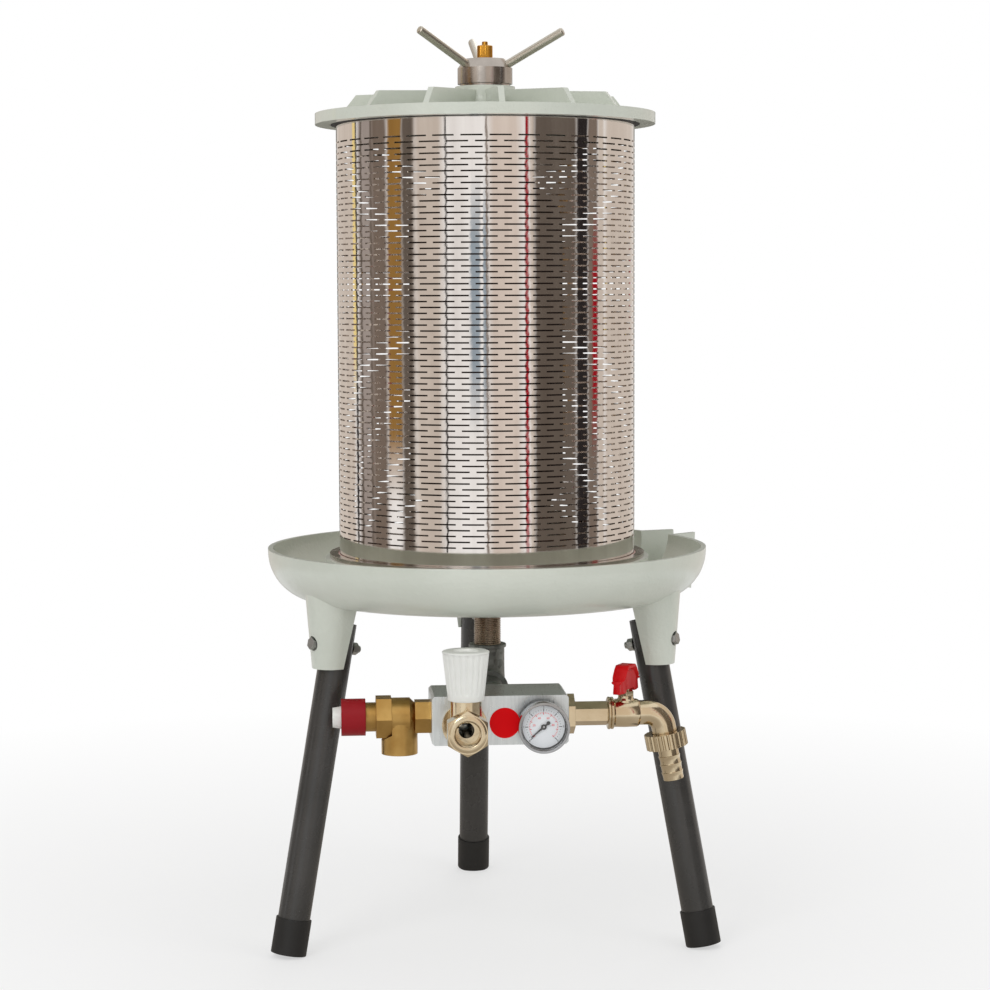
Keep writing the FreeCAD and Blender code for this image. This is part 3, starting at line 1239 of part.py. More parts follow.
handle = new_body("tap_handle")
wing, rise = s.handle_half_length, s.handle_rise
extrude(handle, [(-s.handle_hub_radius, handle_foot + s.slip_gap),
                 (s.handle_hub_radius, handle_foot + s.slip_gap),
                 (wing, handle_foot + rise / 4), (wing - s.slip_gap, handle_foot + rise * 0.85),
                 (wing - s.slip_gap * 4, handle_foot + rise), (s.handle_hub_radius, handle_top),
                 (-s.handle_hub_radius, handle_top), (-wing + s.slip_gap * 4, handle_foot + rise),
                 (-wing + s.slip_gap, handle_foot + rise * 0.85), (-wing, handle_foot + rise / 4)],
        s.handle_width, role="XZ_Plane", both=True)
extrude(handle, ((s.handle_hub_radius, 0, 0),), s.handle_hub_height, at=(0, 0, handle_foot))
extrude(handle, ((s.tap_stem_radius + s.running_gap, 0, 0),), s.handle_hub_height, kind="Pocket",
        at=(0, 0, handle_foot), back=True)
place(handle, at=tap_axis["at"], turns=[("z", s.handle_azimuth)])
handle_nut = hex_ring("tap_handle_nut", s.handle_screw_radius * 2, s.tap_stem_radius + s.running_gap,
                      handle_top,
                      s.handle_screw_height)
place(handle_nut, **tap_axis)

# Outlet elbow of the tap, bent down and slightly outwards
outlet_bend = 90 - s.tap_outlet_tilt
tap_elbow = new_body("tap_elbow")
bend_reach = s.tap_bend_radius * tangent(outlet_bend / 2)
seat_end = s.tap_stem_place + s.tap_seat_offset + s.tap_seat_thickness


def tap_elbow_run(kind, radius, start):
    """The outlet's route: level, round the bend, then down along the tilted outlet."""
    route = new_sketch(tap_elbow, "XZ_Plane")
    corner, level, radius_of_bend = s.tap_elbow_corner.value, s.port_height.value, s.tap_bend_radius.value
    tilt = math.radians(s.tap_outlet_tilt.value)
    level_end = Vector(corner - bend_reach.value, level, 0)
    down = Vector(math.sin(tilt), -math.cos(tilt), 0)
    drop_start = Vector(corner, level, 0) + down * bend_reach.value
    drop_end = Vector(corner, level, 0) + down * s.tap_elbow_end.value
    centre = level_end - Vector(0, radius_of_bend, 0)
    circle = Part.Circle(centre, Vector(0, 0, 1), radius_of_bend)
    run = route.addGeometry(Part.LineSegment(Vector(start.value, level, 0), level_end), False)
    bend = route.addGeometry(Part.ArcOfCircle(circle, tilt, math.pi / 2), False)
    drop = route.addGeometry(Part.LineSegment(drop_start, drop_end), False)
    route.addConstraint(Sketcher.Constraint("Coincident", run, 2, bend, 2))
    route.addConstraint(Sketcher.Constraint("Coincident", bend, 1, drop, 1))
    tie(route, "DistanceX", -1, 1, run, 1, to=start)
    tie(route, "DistanceY", -1, 1, run, 1, to=s.port_height)
    tie(route, "DistanceX", -1, 1, run, 2, to=s.tap_elbow_corner - bend_reach)
    tie(route, "DistanceY", -1, 1, run, 2, to=s.port_height)
    tie(route, "DistanceX", -1, 1, drop, 1, to=s.tap_elbow_corner + bend_reach * sine(s.tap_outlet_tilt))
    tie(route, "DistanceY", -1, 1, drop, 1, to=s.port_height - bend_reach * cosine(s.tap_outlet_tilt))
    tie(route, "DistanceX", -1, 1, drop, 2,
        to=s.tap_elbow_corner + s.tap_elbow_end * sine(s.tap_outlet_tilt))
    tie(route, "DistanceY", -1, 1, drop, 2,
        to=s.port_height - s.tap_elbow_end * cosine(s.tap_outlet_tilt))
    tie(route, "Radius", bend, to=s.tap_bend_radius)
    section = new_sketch(tap_elbow, "YZ_Plane", (0, s.port_height, start))
    draw_circle(section, radius)
    return feature(tap_elbow, kind, Profile=section, Spine=route)


tap_elbow_run("AdditivePipe", s.tap_elbow_radius, s.tap_body_end)
extrude(tap_elbow, ((cavity - s.running_gap, 0, s.port_height),), s.tap_body_end - seat_end,
        role="YZ_Plane",
        at=(0, 0, seat_end))
outlet_way = {"at": (s.tap_elbow_corner, line, s.port_height), "turns": [("y", 180 - s.tap_outlet_tilt)]}
thread_length = s.tap_elbow_end - s.union_start - s.slip_gap
extrude(tap_elbow, ((s.union_thread_radius - s.running_gap, 0, 0),), thread_length, back=True,
        at=(s.tap_elbow_corner + s.tap_elbow_end * sine(s.tap_outlet_tilt), 0,
            s.port_height - s.tap_elbow_end * cosine(s.tap_outlet_tilt)),
        turn=("y", 180 - s.tap_outlet_tilt))
tap_elbow_run("SubtractivePipe", s.tap_elbow_bore, s.tap_body_end)
extrude(tap_elbow, ((s.tap_elbow_bore, 0, s.port_height),), s.tap_body_end - seat_end + s.slip_gap,
        kind="Pocket",
        role="YZ_Plane", at=(0, 0, seat_end), back=True)
place(tap_elbow, at=(0, line, 0))

gasket_end = s.tap_elbow_end + s.hose_gasket_height
collar_end = gasket_end + s.hose_collar_height
hose_gasket = new_body("hose_gasket")
revolve(hose_gasket, [(s.hose_bore_radius, s.tap_elbow_end), (s.hose_collar_radius, s.tap_elbow_end),
                      (s.hose_collar_radius, gasket_end), (s.hose_bore_radius, gasket_end)])
place(hose_gasket, **outlet_way)

union = new_body("union_nut")
revolve(union, [(s.tap_elbow_radius + s.slip_gap / 2, s.union_start), (s.union_radius, s.union_start),
                (s.union_radius, s.union_end), (s.hose_barb_radius + s.seat_gap, s.union_end),
                (s.hose_barb_radius + s.seat_gap, collar_end + s.seat_gap),
                (s.union_thread_radius + s.seat_gap, collar_end + s.seat_gap),
                (s.union_thread_radius + s.seat_gap, s.union_start + s.slip_gap - s.seat_gap),
                (s.tap_elbow_radius + s.slip_gap / 2, s.union_start + s.slip_gap - s.seat_gap)])
knurl = extrude(union, ((s.union_knurl_radius, s.union_radius + s.union_knurl_radius / 3, 0),),
                s.union_end, kind="Pocket", back=True)
polar(union, [knurl], size.union_knurl_count)
place(union, **outlet_way)

hose_tail = new_body("hose_tail")
barb_zone = s.hose_tail_end - s.union_end
barb_step = barb_zone / (s.hose_barb_count + 1)
tail = [(s.hose_bore_radius, gasket_end), (s.hose_collar_radius, gasket_end),
        (s.hose_collar_radius, collar_end),
        (s.hose_tail_radius, collar_end)]
for barb in range(int(round(size.hose_barb_count.value))):
    barb_foot = s.union_end + barb_step * (barb + 1)
    tail += [(s.hose_tail_radius, barb_foot), (s.hose_barb_radius, barb_foot),
             (s.hose_tail_radius, barb_foot + barb_step / 2)]
tail += [(s.hose_tail_radius, s.hose_tail_end), (s.hose_bore_radius, s.hose_tail_end)]
revolve(hose_tail, tail)
place(hose_tail, **outlet_way)

# Check every object, then write each sub-part
doc.recompute()
for made in doc.Objects:
    if "Invalid" in made.State or "Error" in made.State:
        raise RuntimeError(f"{made.Label} of {made.TypeId} has failed: {made.State}")
for body in sub_parts:
    if body.Shape.isNull() or not body.Shape.isValid() or not body.Shape.Solids:
        raise RuntimeError(f"{body.Label} has no valid solid")

os.makedirs("parts", exist_ok=True)
for body in sub_parts:
    body.Shape.exportStep(os.path.join("parts", body.Label + ".step"))
    print(body.Label, len(body.Shape.Solids), round(body.Shape.Volume, 1))
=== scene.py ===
import json
import math

import bmesh
import bpy
import numpy as np
from mathutils import Matrix, Vector


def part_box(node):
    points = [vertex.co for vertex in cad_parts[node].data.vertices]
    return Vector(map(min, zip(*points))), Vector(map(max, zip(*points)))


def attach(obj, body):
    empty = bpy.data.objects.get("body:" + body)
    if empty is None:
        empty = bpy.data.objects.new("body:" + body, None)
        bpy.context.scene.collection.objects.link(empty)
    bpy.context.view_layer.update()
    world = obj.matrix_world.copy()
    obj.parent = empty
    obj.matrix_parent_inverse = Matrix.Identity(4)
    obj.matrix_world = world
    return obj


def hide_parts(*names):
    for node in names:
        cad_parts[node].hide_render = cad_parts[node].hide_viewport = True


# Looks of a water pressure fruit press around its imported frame, in metres, +Z up. Pieces are
# worked out from the CAD nodes' own boxes, so they follow the frame.

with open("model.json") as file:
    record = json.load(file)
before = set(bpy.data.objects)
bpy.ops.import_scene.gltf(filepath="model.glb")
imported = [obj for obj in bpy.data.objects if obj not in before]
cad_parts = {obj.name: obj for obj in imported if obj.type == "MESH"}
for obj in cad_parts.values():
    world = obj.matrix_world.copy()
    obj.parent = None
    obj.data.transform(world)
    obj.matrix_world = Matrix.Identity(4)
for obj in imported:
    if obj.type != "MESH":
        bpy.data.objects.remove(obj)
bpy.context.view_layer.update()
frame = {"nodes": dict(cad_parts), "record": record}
MM = 0.001
TAU = 2 * math.pi
SLOT_OF = {part["node"]: part["material_slot"] for part in frame["record"]["subparts"]}
BODY_OF = {node: body for body, nodes in frame["record"]["behaviour"]["bodies"].items() for node in nodes}


# Finishes

def srgb(red, green, blue):
    """A colour of 0-255 steps as a linear colour with alpha."""
    shares = [step / 255 for step in (red, green, blue)]
    return tuple(s / 12.92 if s <= 0.04045 else ((s + 0.055) / 1.055) ** 2.4 for s in shares) + (1.0,)


class Finish:
    """A material in the making: its node tree, its shader and patterns in the piece's own coordinates."""

    def __init__(self, name, metallic=0.0, roughness=0.5, coat=0.0, coat_roughness=0.1):
        self.material = bpy.data.materials.new(name)
        self.material.use_nodes = True
        self.tree = self.material.node_tree
        self.shader = self.tree.nodes["Principled BSDF"]
        self.shader.inputs["Metallic"].default_value = metallic
        self.shader.inputs["Roughness"].default_value = roughness
        self.shader.inputs["Coat Weight"].default_value = coat
        self.shader.inputs["Coat Roughness"].default_value = coat_roughness
        self.place = self.tree.nodes.new("ShaderNodeTexCoord").outputs["Object"]

    def node(self, kind, **inputs):
        made = self.tree.nodes.new(kind)
        for name, value in inputs.items():
            socket = made.inputs[name.replace("_", " ")]
            if isinstance(value, bpy.types.NodeSocket):
                self.tree.links.new(value, socket)
            else:
                socket.default_value = value
        return made

    def stretched(self, stretch):
        return self.node("ShaderNodeMapping", Vector=self.place, Scale=stretch).outputs["Vector"]

    def noise(self, scale, detail=3.0, stretch=(1, 1, 1)):
        """Cloudy noise with so many features to the metre."""
        place = self.stretched(stretch)
        return self.node("ShaderNodeTexNoise", Vector=place, Scale=scale, Detail=detail).outputs["Fac"]

    def cells(self, scale):
        """A random shade for each cell of a broken pattern."""
        return self.node("ShaderNodeTexVoronoi", Vector=self.place, Scale=scale).outputs["Color"]

    def colour(self, amount, low, high, start=0.3, stop=0.7):
        """Base colour from low to high as the pattern goes from start to stop."""
        ramp = self.node("ShaderNodeValToRGB", Fac=amount)
        ramp.color_ramp.elements[0].position = start
        ramp.color_ramp.elements[0].color = low
        ramp.color_ramp.elements[1].position = stop
        ramp.color_ramp.elements[1].color = high
        self.tree.links.new(ramp.outputs["Color"], self.shader.inputs["Base Color"])
        return self

    def gloss(self, amount, low, high):
        """Roughness from low to high across the pattern's middle."""
        spread = self.node("ShaderNodeMapRange", Value=amount)
        spread.inputs["From Min"].default_value = 0.3
        spread.inputs["From Max"].default_value = 0.7
        spread.inputs["To Min"].default_value = low
        spread.inputs["To Max"].default_value = high
        self.tree.links.new(spread.outputs["Result"], self.shader.inputs["Roughness"])
        return self

    def relief(self, amount, depth, strength=1.0):
        """Raise the pattern by so many metres; reliefs add up."""
        bump = self.node("ShaderNodeBump", Height=amount, Distance=depth, Strength=strength)
        normal = self.shader.inputs["Normal"]
        if normal.links:
            self.tree.links.new(normal.links[0].from_socket, bump.inputs["Normal"])
        self.tree.links.new(bump.outputs["Normal"], normal)
        return self


def cast_paint():
    """Pale grey-green gloss paint with an orange-peel skin over a slightly uneven casting."""
    finish = Finish("cast_paint", coat=0.5, coat_roughness=0.12)
    finish.colour(finish.noise(9, 4), srgb(201, 206, 194), srgb(212, 216, 205))
    finish.gloss(finish.noise(60, 3), 0.3, 0.42)
    return finish.relief(finish.noise(230, 2), 0.5 * MM).relief(finish.noise(28, 2), 1.2 * MM, 0.5)


def tube_paint():
    """Charcoal stoved paint with a fine grain and faint rubbed patches."""
    finish = Finish("tube_paint", roughness=0.4)
    finish.colour(finish.noise(14, 5), srgb(52, 51, 49), srgb(64, 62, 60))
    finish.gloss(finish.noise(35, 4), 0.22, 0.34)
    return finish.relief(finish.noise(420, 2), 0.05 * MM)


def polished_sheet():
    """Mirror-polished stainless sheet: faint upright polishing lines and slow waves."""
    finish = Finish("polished_sheet", metallic=1.0, roughness=0.07)
    finish.colour(finish.noise(8, 3, (6, 6, 0.4)), srgb(214, 206, 200), srgb(232, 226, 221))
    finish.gloss(finish.noise(40, 4, (8, 8, 0.5)), 0.03, 0.09)
    return finish.relief(finish.noise(9, 1, (3, 3, 0.35)), 0.3 * MM, 0.07)


def turned_metal(name, dark, light, low=0.16, high=0.28, rings=0.006):
    """Lathe-turned metal: fine tool rings across the piece and patchy gloss."""
    finish = Finish(name, metallic=1.0)
    finish.colour(finish.noise(30, 3), dark, light)
    finish.gloss(finish.noise(60, 2), low, high)
    return finish.relief(finish.noise(500, 1, (0.05, 0.05, 1)), rings * MM)


def plain_metal(name, shade, roughness):
    """Drawn bar or rolled strip: one even shade."""
    finish = Finish(name, metallic=1.0, roughness=roughness)
    finish.shader.inputs["Base Color"].default_value = shade
    return finish


def cast_metal(name, dark, light, low=0.25, high=0.42, grain=420, depth=0.12):
    """Metal with the fine grain of a forging or casting under its plating."""
    finish = Finish(name, metallic=1.0)
    finish.colour(finish.noise(30, 4), dark, light)
    finish.gloss(finish.noise(90, 3), low, high)
    return finish.relief(finish.noise(grain, 2), depth * MM).relief(finish.noise(60, 2), 0.25 * MM, 0.25)


def galvanised_metal():
    """Dull zinc with its broken spangle."""
    finish = Finish("galvanised_metal", metallic=0.85, roughness=0.5)
    finish.colour(finish.cells(160), srgb(96, 99, 96), srgb(134, 137, 133), 0.1, 0.9)
    finish.gloss(finish.noise(80, 4), 0.38, 0.6)
    return finish.relief(finish.noise(300, 3), 0.15 * MM)


def milled_aluminium():
    """Drawn aluminium bar with upright saw and draw lines."""
    finish = Finish("milled_aluminium", metallic=0.9)
    finish.colour(finish.noise(60, 4, (6, 6, 0.6)), srgb(206, 212, 213), srgb(220, 225, 226))
    finish.gloss(finish.noise(120, 3, (5, 5, 0.5)), 0.26, 0.36)
    return finish.relief(finish.noise(240, 2, (6, 6, 0.4)), 0.05 * MM)


def moulded(name, dark, light, low=0.25, high=0.36, coat=0.0, shine=0.5, skin=0.02):
    """Moulded plastic or lacquer: nearly even colour and a faint skin."""
    finish = Finish(name, coat=coat)
    finish.shader.inputs["Specular IOR Level"].default_value = shine
    finish.colour(finish.noise(20, 2), dark, light)
    finish.gloss(finish.noise(40, 2), low, high)
    return finish.relief(finish.noise(250, 1), skin * MM)


def rubber(name, dark, light):
    """Matt rubber with a dusty bloom."""
    finish = Finish(name, roughness=0.7)
    finish.colour(finish.noise(80, 5), dark, light)
    finish.gloss(finish.noise(200, 3), 0.6, 0.85)
    return finish.relief(finish.noise(900, 2), 0.05 * MM)


def window_glass():
    """Thin clear window: a faint reflection over what lies behind it."""
    finish = Finish("window_glass", roughness=0.04)
    finish.shader.inputs["Base Color"].default_value = (1, 1, 1, 1)
    finish.shader.inputs["Alpha"].default_value = 0.03
    finish.gloss(finish.noise(30, 2), 0.02, 0.06)
    finish.material.surface_render_method = "BLENDED"
    return finish


FINISHES = {
    "grey_green_paint": cast_paint(),
    "charcoal_paint": tube_paint(),
    "black_plastic": moulded("black_cap", srgb(20, 20, 20), srgb(30, 30, 29), 0.45, 0.6),
    "mirror_stainless": polished_sheet(),
    "satin_stainless": turned_metal("turned_stainless", srgb(158, 150, 142), srgb(186, 178, 170)),
    "zinc_plate": turned_metal("zinc_plate", srgb(150, 152, 150), srgb(182, 184, 182), 0.25, 0.4),
    "galvanised_iron": galvanised_metal(),
    "black_rubber": rubber("black_rubber", srgb(26, 26, 26), srgb(38, 37, 36)),
    "membrane_rubber": rubber("membrane_rubber", srgb(60, 40, 34), srgb(76, 50, 42)),
    "pink_seal_rubber": rubber("pink_seal_rubber", srgb(196, 160, 150), srgb(210, 176, 166)),
    "bright_aluminium": milled_aluminium(),
    "spool_aluminium": turned_metal("spool_aluminium", srgb(180, 182, 184), srgb(204, 206, 208)),
    "yellow_brass": cast_metal("cast_brass", srgb(170, 132, 72), srgb(198, 162, 98), 0.28, 0.42, 300, 0.05),
    "vent_brass": turned_metal("vent_brass", srgb(176, 120, 36), srgb(206, 152, 62)),
    "nickel_plate": cast_metal("nickel_plate", srgb(202, 184, 152), srgb(222, 206, 176), 0.12, 0.22, 220,
                               0.02),
    "red_plastic": moulded("red_cap", srgb(140, 8, 20), srgb(154, 12, 26), 0.35, 0.45, shine=0.25),
    "white_plastic": moulded("white_knob", srgb(233, 234, 229), srgb(239, 240, 235), 0.3, 0.36, skin=0.004),
    "red_lacquer": moulded("red_lacquer", srgb(186, 0, 8), srgb(204, 2, 12), 0.25, 0.36, shine=0.25),
    "spring_steel": turned_metal("spring_steel", srgb(120, 120, 118), srgb(150, 150, 148)),
    "gauge_chrome": turned_metal("gauge_chrome", srgb(150, 152, 154), srgb(176, 178, 180), 0.08, 0.16),
    "dial_white": moulded("dial_white", srgb(236, 240, 244), srgb(242, 245, 248), 0.5, 0.6, shine=0.2),
    "needle_black": moulded("needle_black", srgb(14, 14, 14), srgb(24, 24, 24), 0.4, 0.5),
    "gauge_window": window_glass(),
    "red_film": moulded("red_film", srgb(242, 0, 12), srgb(248, 2, 16), 0.5, 0.6, shine=0.12),
    "pipe_steel": turned_metal("pipe_steel", srgb(150, 130, 114), srgb(184, 166, 150), 0.2, 0.32),
    "rod_steel": plain_metal("rod_steel", srgb(190, 184, 172), 0.3),
    "seat_plastic": moulded("seat_plastic", srgb(226, 226, 220), srgb(236, 236, 230), 0.4, 0.5),
}


# Meshes

def grid_faces(rows, columns, wrap_rows=False, wrap_columns=False, keep=None):
    """Four-sided faces between neighbours of a grid of points; keep picks some of them."""
    row, column = np.meshgrid(np.arange(rows if wrap_rows else rows - 1),
                              np.arange(columns if wrap_columns else columns - 1), indexing="ij")
    below, beside = (row + 1) % rows, (column + 1) % columns
    quads = np.stack([row * columns + column, row * columns + beside,
                      below * columns + beside, below * columns + column], axis=-1)
    return quads.reshape(-1, 4) if keep is None else quads[keep]


def piece(name, points, faces, body, slot, replaced=(), crease=32, finish=None):
    """A mesh that rides on a body, with doubles merged, faces outwards and edges over crease sharp."""
    mesh = bpy.data.meshes.new(name)
    mesh.from_pydata(np.asarray(points).reshape(-1, 3).tolist(), [], [list(face) for face in faces])
    shape = bmesh.new()
    shape.from_mesh(mesh)
    bmesh.ops.remove_doubles(shape, verts=shape.verts, dist=0.5e-6)
    bmesh.ops.recalc_face_normals(shape, faces=shape.faces)
    shape.to_mesh(mesh)
    shape.free()
    mesh.shade_smooth()
    mesh.set_sharp_from_angle(angle=math.radians(crease))
    made = bpy.data.objects.new(name, mesh)
    bpy.context.scene.collection.objects.link(made)
    mesh.materials.append(FINISHES[finish or slot].material)
    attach(made, body)
    if replaced:
        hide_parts(*replaced)
    return made


def settled(made, crease=32):
    """The piece with its modifiers made part of its mesh and edges over crease sharp."""
    bpy.context.view_layer.update()
    solid = bpy.data.meshes.new_from_object(made.evaluated_get(bpy.context.evaluated_depsgraph_get()))
    solid.name = made.data.name
    made.modifiers.clear()
    made.data = solid
    solid.shade_smooth()
    solid.set_sharp_from_angle(angle=math.radians(crease))
    return made


def laid(points, centre, along=(0, 0, 1), up=(0, 0, 1)):
    """Points of a piece drawn round its own Z, laid along a direction from a centre."""
    axis = Vector(along).normalized()
    side = Vector(up) if abs(axis.dot(Vector(up))) < 0.9 else Vector((1, 0, 0))
    across = side.cross(axis).normalized()
    turned = np.array([across, axis.cross(across), axis])
    return np.asarray(points) @ turned + np.array(centre)


def turned_points(radii, heights, columns):
    """Points at each (radius, height) of a profile, carried round Z in equal steps. A radius may
    be a grid that already has one value for each step."""
    angle = np.linspace(0, TAU, columns, endpoint=False)
    radii, heights = np.asarray(radii, float), np.asarray(heights, float)
    radius = radii if radii.ndim == 2 else np.repeat(radii[:, None], columns, axis=1)
    return np.stack([radius * np.cos(angle), radius * np.sin(angle),
                     np.repeat(heights[:, None], columns, axis=1)], axis=-1)


def smooth_step(amount):
    """0 before 0, 1 after 1, and an even S between."""
    amount = np.clip(amount, 0, 1)
    return amount * amount * (3 - 2 * amount)


# Nodes whose finish differs from that of their slot
FINISH_OF = {"nut_handle_rods": "rod_steel", "thrust_washer": "satin_stainless"}


# Softened copies of the CAD nodes: the solid's own mesh with its edges rounded

def softened(node, width, steps=2, crease=30):
    """The node's mesh with edges over crease degrees rounded to a width and faces kept flat."""
    mesh = frame["nodes"][node].data.copy()
    mesh.name = f"{node}_finished"
    shape = bmesh.new()
    shape.from_mesh(mesh)
    bmesh.ops.remove_doubles(shape, verts=shape.verts, dist=2e-6)
    bmesh.ops.dissolve_limit(shape, angle_limit=math.radians(0.6), verts=shape.verts, edges=shape.edges)
    shape.to_mesh(mesh)
    shape.free()
    made = bpy.data.objects.new(f"{node}_finished", mesh)
    bpy.context.scene.collection.objects.link(made)
    mesh.materials.clear()
    mesh.materials.append(FINISHES[FINISH_OF.get(node, SLOT_OF[node])].material)
    mesh.shade_smooth()
    mesh.set_sharp_from_angle(angle=math.radians(crease + 25))
    bevel = made.modifiers.new("rounding", "BEVEL")
    bevel.width = width
    bevel.segments = steps
    bevel.limit_method = "ANGLE"
    bevel.angle_limit = math.radians(crease)
    bevel.use_clamp_overlap = True
    even = made.modifiers.new("flat_faces", "WEIGHTED_NORMAL")
    even.keep_sharp = False
    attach(made, BODY_OF[node])
    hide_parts(node)
    return made


CASTINGS = {"tray": 1.4 * MM, "lid": 2.2 * MM, "valve_block": 0.4 * MM}
MACHINED_WIDTH = 0.35 * MM
MACHINED = ["press_nut", "relief_body", "relief_bonnet", "relief_cap", "relief_cap_tip", "inlet_union_ring",
            "inlet_valve_body", "gauge_case", "gauge_bezel", "tap_seal", "tap_lock_nut", "tap_extension",
            "tap_gland_nut", "tap_handle_nut", "tap_elbow", "union_nut", "hose_tail", "nut_handle_rods",
            "base_lock_nut", "leg_end_caps", "leg_bolts", "leg_nuts", "seat_ring", "thrust_washer"]

for node, cad in frame["nodes"].items():
    cad.data.materials.clear()
    cad.data.materials.append(FINISHES[FINISH_OF.get(node, SLOT_OF[node])].material)
for node, width in CASTINGS.items():
    softened(node, width)
for node in MACHINED:
    softened(node, MACHINED_WIDTH)


# Inlet: its body's copy is changed by share and by place, and a lip is added round its mouth
HEXAGON_FROM = 19 * MM
HEXAGON_DEPTH = 23 * MM
HEXAGON_SHARE = 0.10
MOUTH_FROM = 12.5 * MM
MOUTH_TO = 16 * MM
MOUTH_DEPTH = 17 * MM
MOUTH_SHARE = 0.05
SEAT_RADIUS = 9.5 * MM
SEAT_LEVEL = 16 * MM
SEAT_SHIFT = 11 * MM
LIP_PROFILE = [(14.6, -2.0), (14.6, 0.3), (15.4, 1.0), (16.6, 1.2), (18.4, 1.0), (21.0, 0.3), (22.3, -0.9),
               (22.3, -2.0)]


def open_inlet():
    """The inlet body's softened copy with a fuller hexagon and a seat that slopes into its way:
    points beyond the body's own radius go out by a tenth, the mouth by a twentieth, and the way's
    circle at the seat goes inwards along the axis."""
    mesh = bpy.data.objects["inlet_valve_body_finished"].data
    low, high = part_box("inlet_valve_body")
    ring_low, ring_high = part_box("inlet_union_ring")
    centre = np.array([(ring_low.x + ring_high.x) / 2, 0, (ring_low.z + ring_high.z) / 2])
    points = np.empty(len(mesh.vertices) * 3)
    mesh.vertices.foreach_get("co", points)
    points = points.reshape(-1, 3)
    out = (points - centre) * (1, 0, 1)
    radius = np.linalg.norm(out, axis=1)
    ahead = points[:, 1] - low.y
    hexagon = (radius > HEXAGON_FROM) & (ahead < HEXAGON_DEPTH)
    mouth = (radius > MOUTH_FROM) & (radius < MOUTH_TO) & (ahead < MOUTH_DEPTH)
    seat = (radius < SEAT_RADIUS) & (np.abs(ahead - SEAT_LEVEL) < 1 * MM)
    points = points + out * (HEXAGON_SHARE * hexagon + MOUTH_SHARE * mouth)[:, None]
    points[:, 1] += SEAT_SHIFT * seat
    mesh.vertices.foreach_set("co", points.ravel())
    mesh.update()


open_inlet()


def inlet_lip():
    """A rounded lip of revolution on the hexagon's face, round the mouth."""
    low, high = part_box("inlet_valve_body")
    ring_low, ring_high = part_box("inlet_union_ring")
    centre = ((ring_low.x + ring_high.x) / 2, low.y, (ring_low.z + ring_high.z) / 2)
    lip = np.array(LIP_PROFILE) * MM
    points = laid(turned_points(lip[:, 0], lip[:, 1], 64), centre, along=(0, -1, 0))
    faces = grid_faces(len(lip), 64, wrap_rows=True, wrap_columns=True)
    return piece("inlet_lip", points, faces, "root", "nickel_plate", crease=50)


inlet_lip()


# Basket: a rolled sheet with 71 rows of slots, alternate rows shifted by half a slot
BASKET_ROWS = 71
BASKET_ROW_STEP = 6.75 * MM
BASKET_SLOTS = 34
BASKET_SLOT_LENGTH = 25.5 * MM
BASKET_SLOT_WIDTH = 1.8 * MM
BASKET_FIRST_ROW = 22.9 * MM
BASKET_WALL = 2.0 * MM
BASKET_TURN = math.radians(-3.76)


def perforated_basket():
    """A cylinder cut along the slots' ends and edges. In each pitch the even rows' slots lie over
    columns 0-2 and the odd rows' slots, half a pitch on, over columns 2-4."""
    low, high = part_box("basket")
    radius = high.x
    pitch = TAU * radius / BASKET_SLOTS
    half = BASKET_SLOT_LENGTH / 2
    marks = np.array([-half, half - pitch / 2, pitch / 2 - half, half])
    across = BASKET_TURN + (np.arange(BASKET_SLOTS)[:, None] * pitch + marks).ravel() / radius
    rows = np.arange(BASKET_ROWS)
    middle = low.z + BASKET_FIRST_ROW + rows * BASKET_ROW_STEP
    edges = np.stack([middle - BASKET_SLOT_WIDTH / 2, middle + BASKET_SLOT_WIDTH / 2], axis=1).ravel()
    levels = np.concatenate([[low.z], edges, [high.z]])
    angle, height = np.meshgrid(across, levels)
    points = np.stack([radius * np.cos(angle), radius * np.sin(angle), height], axis=-1)
    column = np.arange(across.size)
    band = np.arange(levels.size - 1)
    even_slot, odd_slot = column % 4 != 3, column % 4 != 1
    open_band = (band % 2 == 1)[:, None]
    even_row = (((band - 1) // 2) % 2 == 0)[:, None]
    keep = ~(open_band & np.where(even_row, even_slot, odd_slot))
    faces = grid_faces(levels.size, across.size, wrap_columns=True, keep=keep)
    sheet = piece("perforated_basket", points, faces, "basket", "mirror_stainless", ("basket",))
    wall = sheet.modifiers.new("wall", "SOLIDIFY")
    wall.thickness = BASKET_WALL
    wall.offset = -1
    return settled(sheet)


perforated_basket()


# Knob of the inlet valve
KNOB_FLUTES = 20
KNOB_FLUTE_DEPTH = 1.2 * MM
KNOB_BAND = 7 * MM
KNOB_ROUNDING = 2.2 * MM
KNOB_RECESS_RADIUS = 15 * MM
KNOB_RECESS_DEPTH = 3 * MM
KNOB_CROWN = 2.6 * MM


